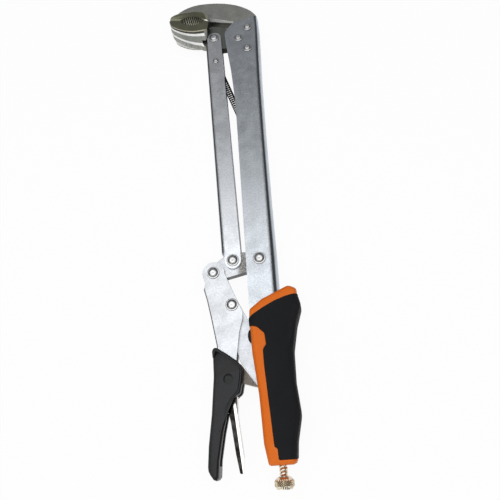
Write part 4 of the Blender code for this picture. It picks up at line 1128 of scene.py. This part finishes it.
@dataclass
class ReturnSpring(Assembly):
    """The coil spring between the bar and the channel, with a hook at each end."""

    anchor: Point = (-0.004653, 0.117298, MIDDLE)
    hook_at: Point = (0.018023, 0.04159, MIDDLE)
    wire: float = 0.0009
    wire_resolution: int = 3
    diameter: float = 0.005
    pitch: float = 0.0019
    pin: float = 0.001
    seat: float = 0.0002
    lead_wires: int = 3
    tail_share: float = 0.7
    curl_points: int = 20
    hook_points: int = 14
    hook_degrees: float = 210.0
    first_degrees: float = 60.0
    last_degrees: float = -90.0
    open_length_share: float = 0.91

    def _line(self) -> list[Vector]:
        """Work out the wire's centre line.

        Returns:
            Its points from one hook to the other.
        """
        start = Vector(self.anchor)
        end = Vector(self.hook_at)
        axis = (end - start).normalized()
        side = Vector((-axis.y, axis.x, 0))
        length = (end - start).length
        coil = (self.diameter - self.wire) / 2
        hook = self.pin + self.wire / 2 + self.seat
        lead = hook + self.lead_wires * self.wire
        tail = hook * self.tail_share

        def place(along: float, across: float, up: float) -> Vector:
            """A point by its distance along, across and above the spring's axis."""
            return start + axis * along + side * across + Vector((0, 0, up))

        def curl(middle: float, first: float) -> list[Vector]:
            """The hook round a pin, from its first angle on."""
            turns = [math.radians(first + self.hook_degrees * step / (self.hook_points - 1))
                     for step in range(self.hook_points)]
            return [place(middle + hook * math.cos(turn), hook * math.sin(turn), 0) for turn in turns]

        run = length - 2 * lead
        count = int(run / self.pitch) * self.curl_points
        points = curl(0.0, self.first_degrees)
        points += [place(tail, -hook, 0), place(lead - self.wire, -(hook + coil) / 2, 0)]
        for step in range(count + 1):
            angle = math.tau * step / self.curl_points
            points.append(place(lead + run * step / count, -coil * math.cos(angle),
                                coil * math.sin(angle)))
        points += [place(length - lead + self.wire, -(hook + coil) / 2, 0), place(length - tail, -hook, 0)]
        return points + curl(length, self.last_degrees)

    def build(self) -> None:
        """Draw the wire along its line."""
        curve = round_line("spring_line", self._line(), self.wire / 2, self.wire_resolution, "POLY")
        piece = self.shop.publish(self.shop.drawn(curve), "coil_spring", SPRING_STEEL, Body.FRAME,
                                  "spring_steel", ["return_spring"], smooth=ROUND_DEGREES)
        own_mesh(piece)
        self.shop.keep("spring_hook", NUT_STEEL)


@dataclass
class Adjuster(Assembly):
    """The adjusting screw with a real helical thread, its knurled knob and its nut."""

    pitch: float = 0.0018
    thread: float = 0.0005
    thread_degrees: float = 50.0
    thread_merge: float = 2e-5
    crest_share: float = 0.12
    start_share: float = 0.6
    tip_share: float = 0.7
    tip_rise_share: float = 0.3
    neck_share: float = 0.75
    neck_drop_share: float = 0.4
    turn_steps: int = 24
    core_steps: int = 32
    diamonds: int = 24
    rows: int = 5
    steps_per_diamond: int = 8
    knurl: float = 0.0008
    groove_steepness: float = 3.2
    foot_share: float = 0.8
    collar_height_share: float = 0.62
    collar_shares: Point = (0.72, 0.68, 0.62)

    def _screw(self) -> None:
        """Spin the thread's ridge up the rod."""
        low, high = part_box("adjusting_screw")
        centre = (low + high) / 2
        radius = (high.x - low.x) / 2
        root = radius - self.thread
        turns = int((high.y - low.y) / self.pitch) - 1
        bm = bmesh.new()
        start = low.y + self.pitch * self.start_share
        ridge = [(root, -0.5), (radius, -self.crest_share), (radius, self.crest_share), (root, 0.5)]
        verts = [bm.verts.new((centre.x + reach, start + self.pitch * share, centre.z))
                 for reach, share in ridge]
        edges = [bm.edges.new(pair) for pair in zip(verts, verts[1:])]
        bmesh.ops.spin(bm, geom=verts + edges, cent=centre, axis=(0, 1, 0), angle=math.tau * turns,
                       steps=turns * self.turn_steps, dvec=(0, self.pitch / self.turn_steps, 0),
                       use_duplicate=False)
        bottom = low.y - centre.y
        top = high.y - centre.y
        core = turned([(0.0, bottom), (root * self.tip_share, bottom),
                       (root, bottom + self.pitch * self.tip_rise_share),
                       (root, top - self.pitch * self.neck_drop_share),
                       (root * self.neck_share, top), (0.0, top)],
                      centre, Vector((0, 1, 0)), Vector((1, 0, 0)), self.core_steps)
        whole = bpy.data.meshes.new("core")
        core.to_mesh(whole)
        core.free()
        bmesh.ops.remove_doubles(bm, verts=bm.verts, dist=self.thread_merge)
        bm.from_mesh(whole)
        self.shop.publish(bm, "threaded_rod", YELLOW_PLATE, Body.SCREW, "screw_brass",
                          ["adjusting_screw"], smooth=self.thread_degrees)

    def _cut_knurl(self, bm: bmesh.types.BMesh, centre: Vector, radius: float, tall: float) -> None:
        """Press the two slanting sets of grooves into the knob's round wall.

        Args:
            bm: the knob's mesh.
            centre: the knob's middle.
            radius: the wall's radius.
            tall: the wall's height.
        """
        for vert in bm.verts:
            flat = Vector((vert.co.x - centre.x, 0, vert.co.z - centre.z))
            if flat.length < radius - self.knurl / 2:
                continue
            turn = math.atan2(flat.z, flat.x) / math.tau * self.diamonds
            climb = (vert.co.y - centre.y) / tall * self.rows
            depth = 0.0
            for slant in (turn + climb, turn - climb):
                depth = max(depth, 1 - self.groove_steepness * abs(slant - math.floor(slant) - 0.5))
            vert.co -= flat.normalized() * (self.knurl * depth)

    def _knob(self) -> None:
        """Turn the knob and cut its diamond knurl."""
        low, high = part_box("adjusting_knob")
        centre = (low + high) / 2
        half = (high.y - low.y) / 2
        radius = (high.x - low.x) / 2
        collar = half * self.collar_height_share
        count = self.rows * self.steps_per_diamond
        profile = [(0.0, -half), (radius * self.foot_share, -half),
                   (radius - self.knurl, -half + self.knurl)]
        for step in range(count + 1):
            height = -half + 2 * self.knurl + (half + collar - 3 * self.knurl) * step / count
            profile.append((radius, height))
        foot, waist, top = (radius * share for share in self.collar_shares)
        profile += [(radius - self.knurl, collar), (foot, collar + self.knurl),
                    (waist, half - self.knurl), (top, half), (0.0, half)]
        bm = turned(profile, centre, Vector((0, 1, 0)), Vector((1, 0, 0)),
                    self.diamonds * self.steps_per_diamond)
        self._cut_knurl(bm, centre, radius, half + collar)
        self.shop.publish(bm, "knurled_knob", YELLOW_PLATE, Body.KNOB, "screw_brass",
                          ["adjusting_knob"], smooth=MOULDED_DEGREES)

    def build(self) -> None:
        """Make the screw and knob, and keep the hidden nut."""
        self._screw()
        self._knob()
        self.shop.keep("screw_nut", NUT_STEEL)


@dataclass(frozen=True)
class Softbox:
    """A rectangular soft lamp: where it hangs, what it faces, its two sides and its watts."""

    name: str
    place: Point
    aim: Point
    sides: Span
    power: float

    def hang(self) -> None:
        """Hang the lamp in the studio."""
        data = bpy.data.lights.new(self.name, "AREA")
        data.shape = "RECTANGLE"
        data.size, data.size_y = self.sides
        data.energy = self.power
        lamp = bpy.data.objects.new(self.name, data)
        lamp.location = self.place
        beam = Vector(self.aim) - Vector(self.place)
        lamp.rotation_euler = beam.to_track_quat("-Z", "Y").to_euler()
        bpy.context.scene.collection.objects.link(lamp)


@dataclass
class Studio:
    """The pale floor, the soft lights and the camera. Turns are in degrees."""

    lamps: tuple[Softbox, ...] = (
        Softbox("overhead_softbox", (0.0, -0.3, 1.0), (0.0, -0.3, 0.0), (1.5, 1.6), 11.5),
        Softbox("left_softbox", (-0.95, -0.8, 0.5), (0.0, 0.05, 0.0), (0.9, 0.6), 2.0))
    air: Colour = (0.97, 0.98, 1.0, 1.0)
    air_strength: float = 0.24
    eye: Point = (0.041817, -0.15926, 0.30614)
    tilt: float = 22.3
    yaw: float = 6.0
    roll: float = 4.0
    lens: float = 36.0
    sensor: float = 36.0
    nearest: float = 0.01
    floor_size: float = 6.0
    floor_white: Colour = (0.88, 0.88, 0.88, 1.0)
    floor_roughness: float = 0.9
    glow_share: float = 0.94

    def _floor(self) -> None:
        """Lay a pale floor that the camera and gloss see white, with a soft shadow."""
        bm = bmesh.new()
        bmesh.ops.create_grid(bm, x_segments=2, y_segments=2, size=self.floor_size / 2)
        mesh = bpy.data.meshes.new("pale_floor")
        bm.to_mesh(mesh)
        bm.free()
        material, sheet, shader = start_material("pale_floor")
        for name, value in (("Base Color", self.floor_white), ("Roughness", self.floor_roughness),
                            ("Specular IOR Level", 0.0)):
            sheet.feed(shader.inputs[name], value)
        path = sheet.add("ShaderNodeLightPath").outputs
        seen = sheet.math("MAXIMUM", path["Is Camera Ray"], path["Is Glossy Ray"])
        seen = sheet.math("MAXIMUM", seen, path["Is Transmission Ray"])
        both = sheet.add("ShaderNodeMixShader")
        glow = sheet.add("ShaderNodeEmission").outputs["Emission"]
        for place, value in enumerate((sheet.math("MULTIPLY", seen, self.glow_share),
                                       shader.outputs["BSDF"], glow)):
            sheet.feed(both.inputs[place], value)
        out = material.node_tree.nodes["Material Output"]
        sheet.feed(out.inputs["Surface"], both.outputs["Shader"])
        mesh.materials.append(material)
        floor = bpy.data.objects.new("pale_floor", mesh)
        bpy.context.scene.collection.objects.link(floor)

    def _camera(self) -> None:
        """Set the camera where the photograph was taken from."""
        data = bpy.data.cameras.new("photo_camera")
        data.lens = self.lens
        data.sensor_width = self.sensor
        data.clip_start = self.nearest
        camera = bpy.data.objects.new("photo_camera", data)
        turn = (Matrix.Rotation(math.radians(self.yaw), 4, "Y")
                @ Matrix.Rotation(math.radians(self.tilt), 4, "X")
                @ Matrix.Rotation(math.radians(-self.roll), 4, "Z"))
        camera.matrix_world = Matrix.Translation(self.eye) @ turn
        bpy.context.scene.collection.objects.link(camera)
        bpy.context.scene.camera = camera

    def build(self) -> None:
        """Set the floor, the lamps, the world and the camera."""
        self._floor()
        for lamp in self.lamps:
            lamp.hang()
        world = bpy.data.worlds.new("studio_air")
        world.use_nodes = True
        air = world.node_tree.nodes["Background"]
        air.inputs["Color"].default_value = self.air
        air.inputs["Strength"].default_value = self.air_strength
        bpy.context.scene.world = world
        self._camera()
        bpy.context.scene.view_settings.view_transform = "Standard"


def main() -> None:
    """Dress every sub-assembly and set the studio."""
    logging.basicConfig(level=logging.INFO, format="%(name)s: %(message)s")
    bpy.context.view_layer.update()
    shop = Workshop()
    for kind in (Stampings, JawHead, Rivets, Grip, Sleeve, ReturnSpring, Adjuster):
        log.info("building %s", kind.__name__)
        kind(shop).build()
    Studio().build()


if __name__ == "__main__":
    main()
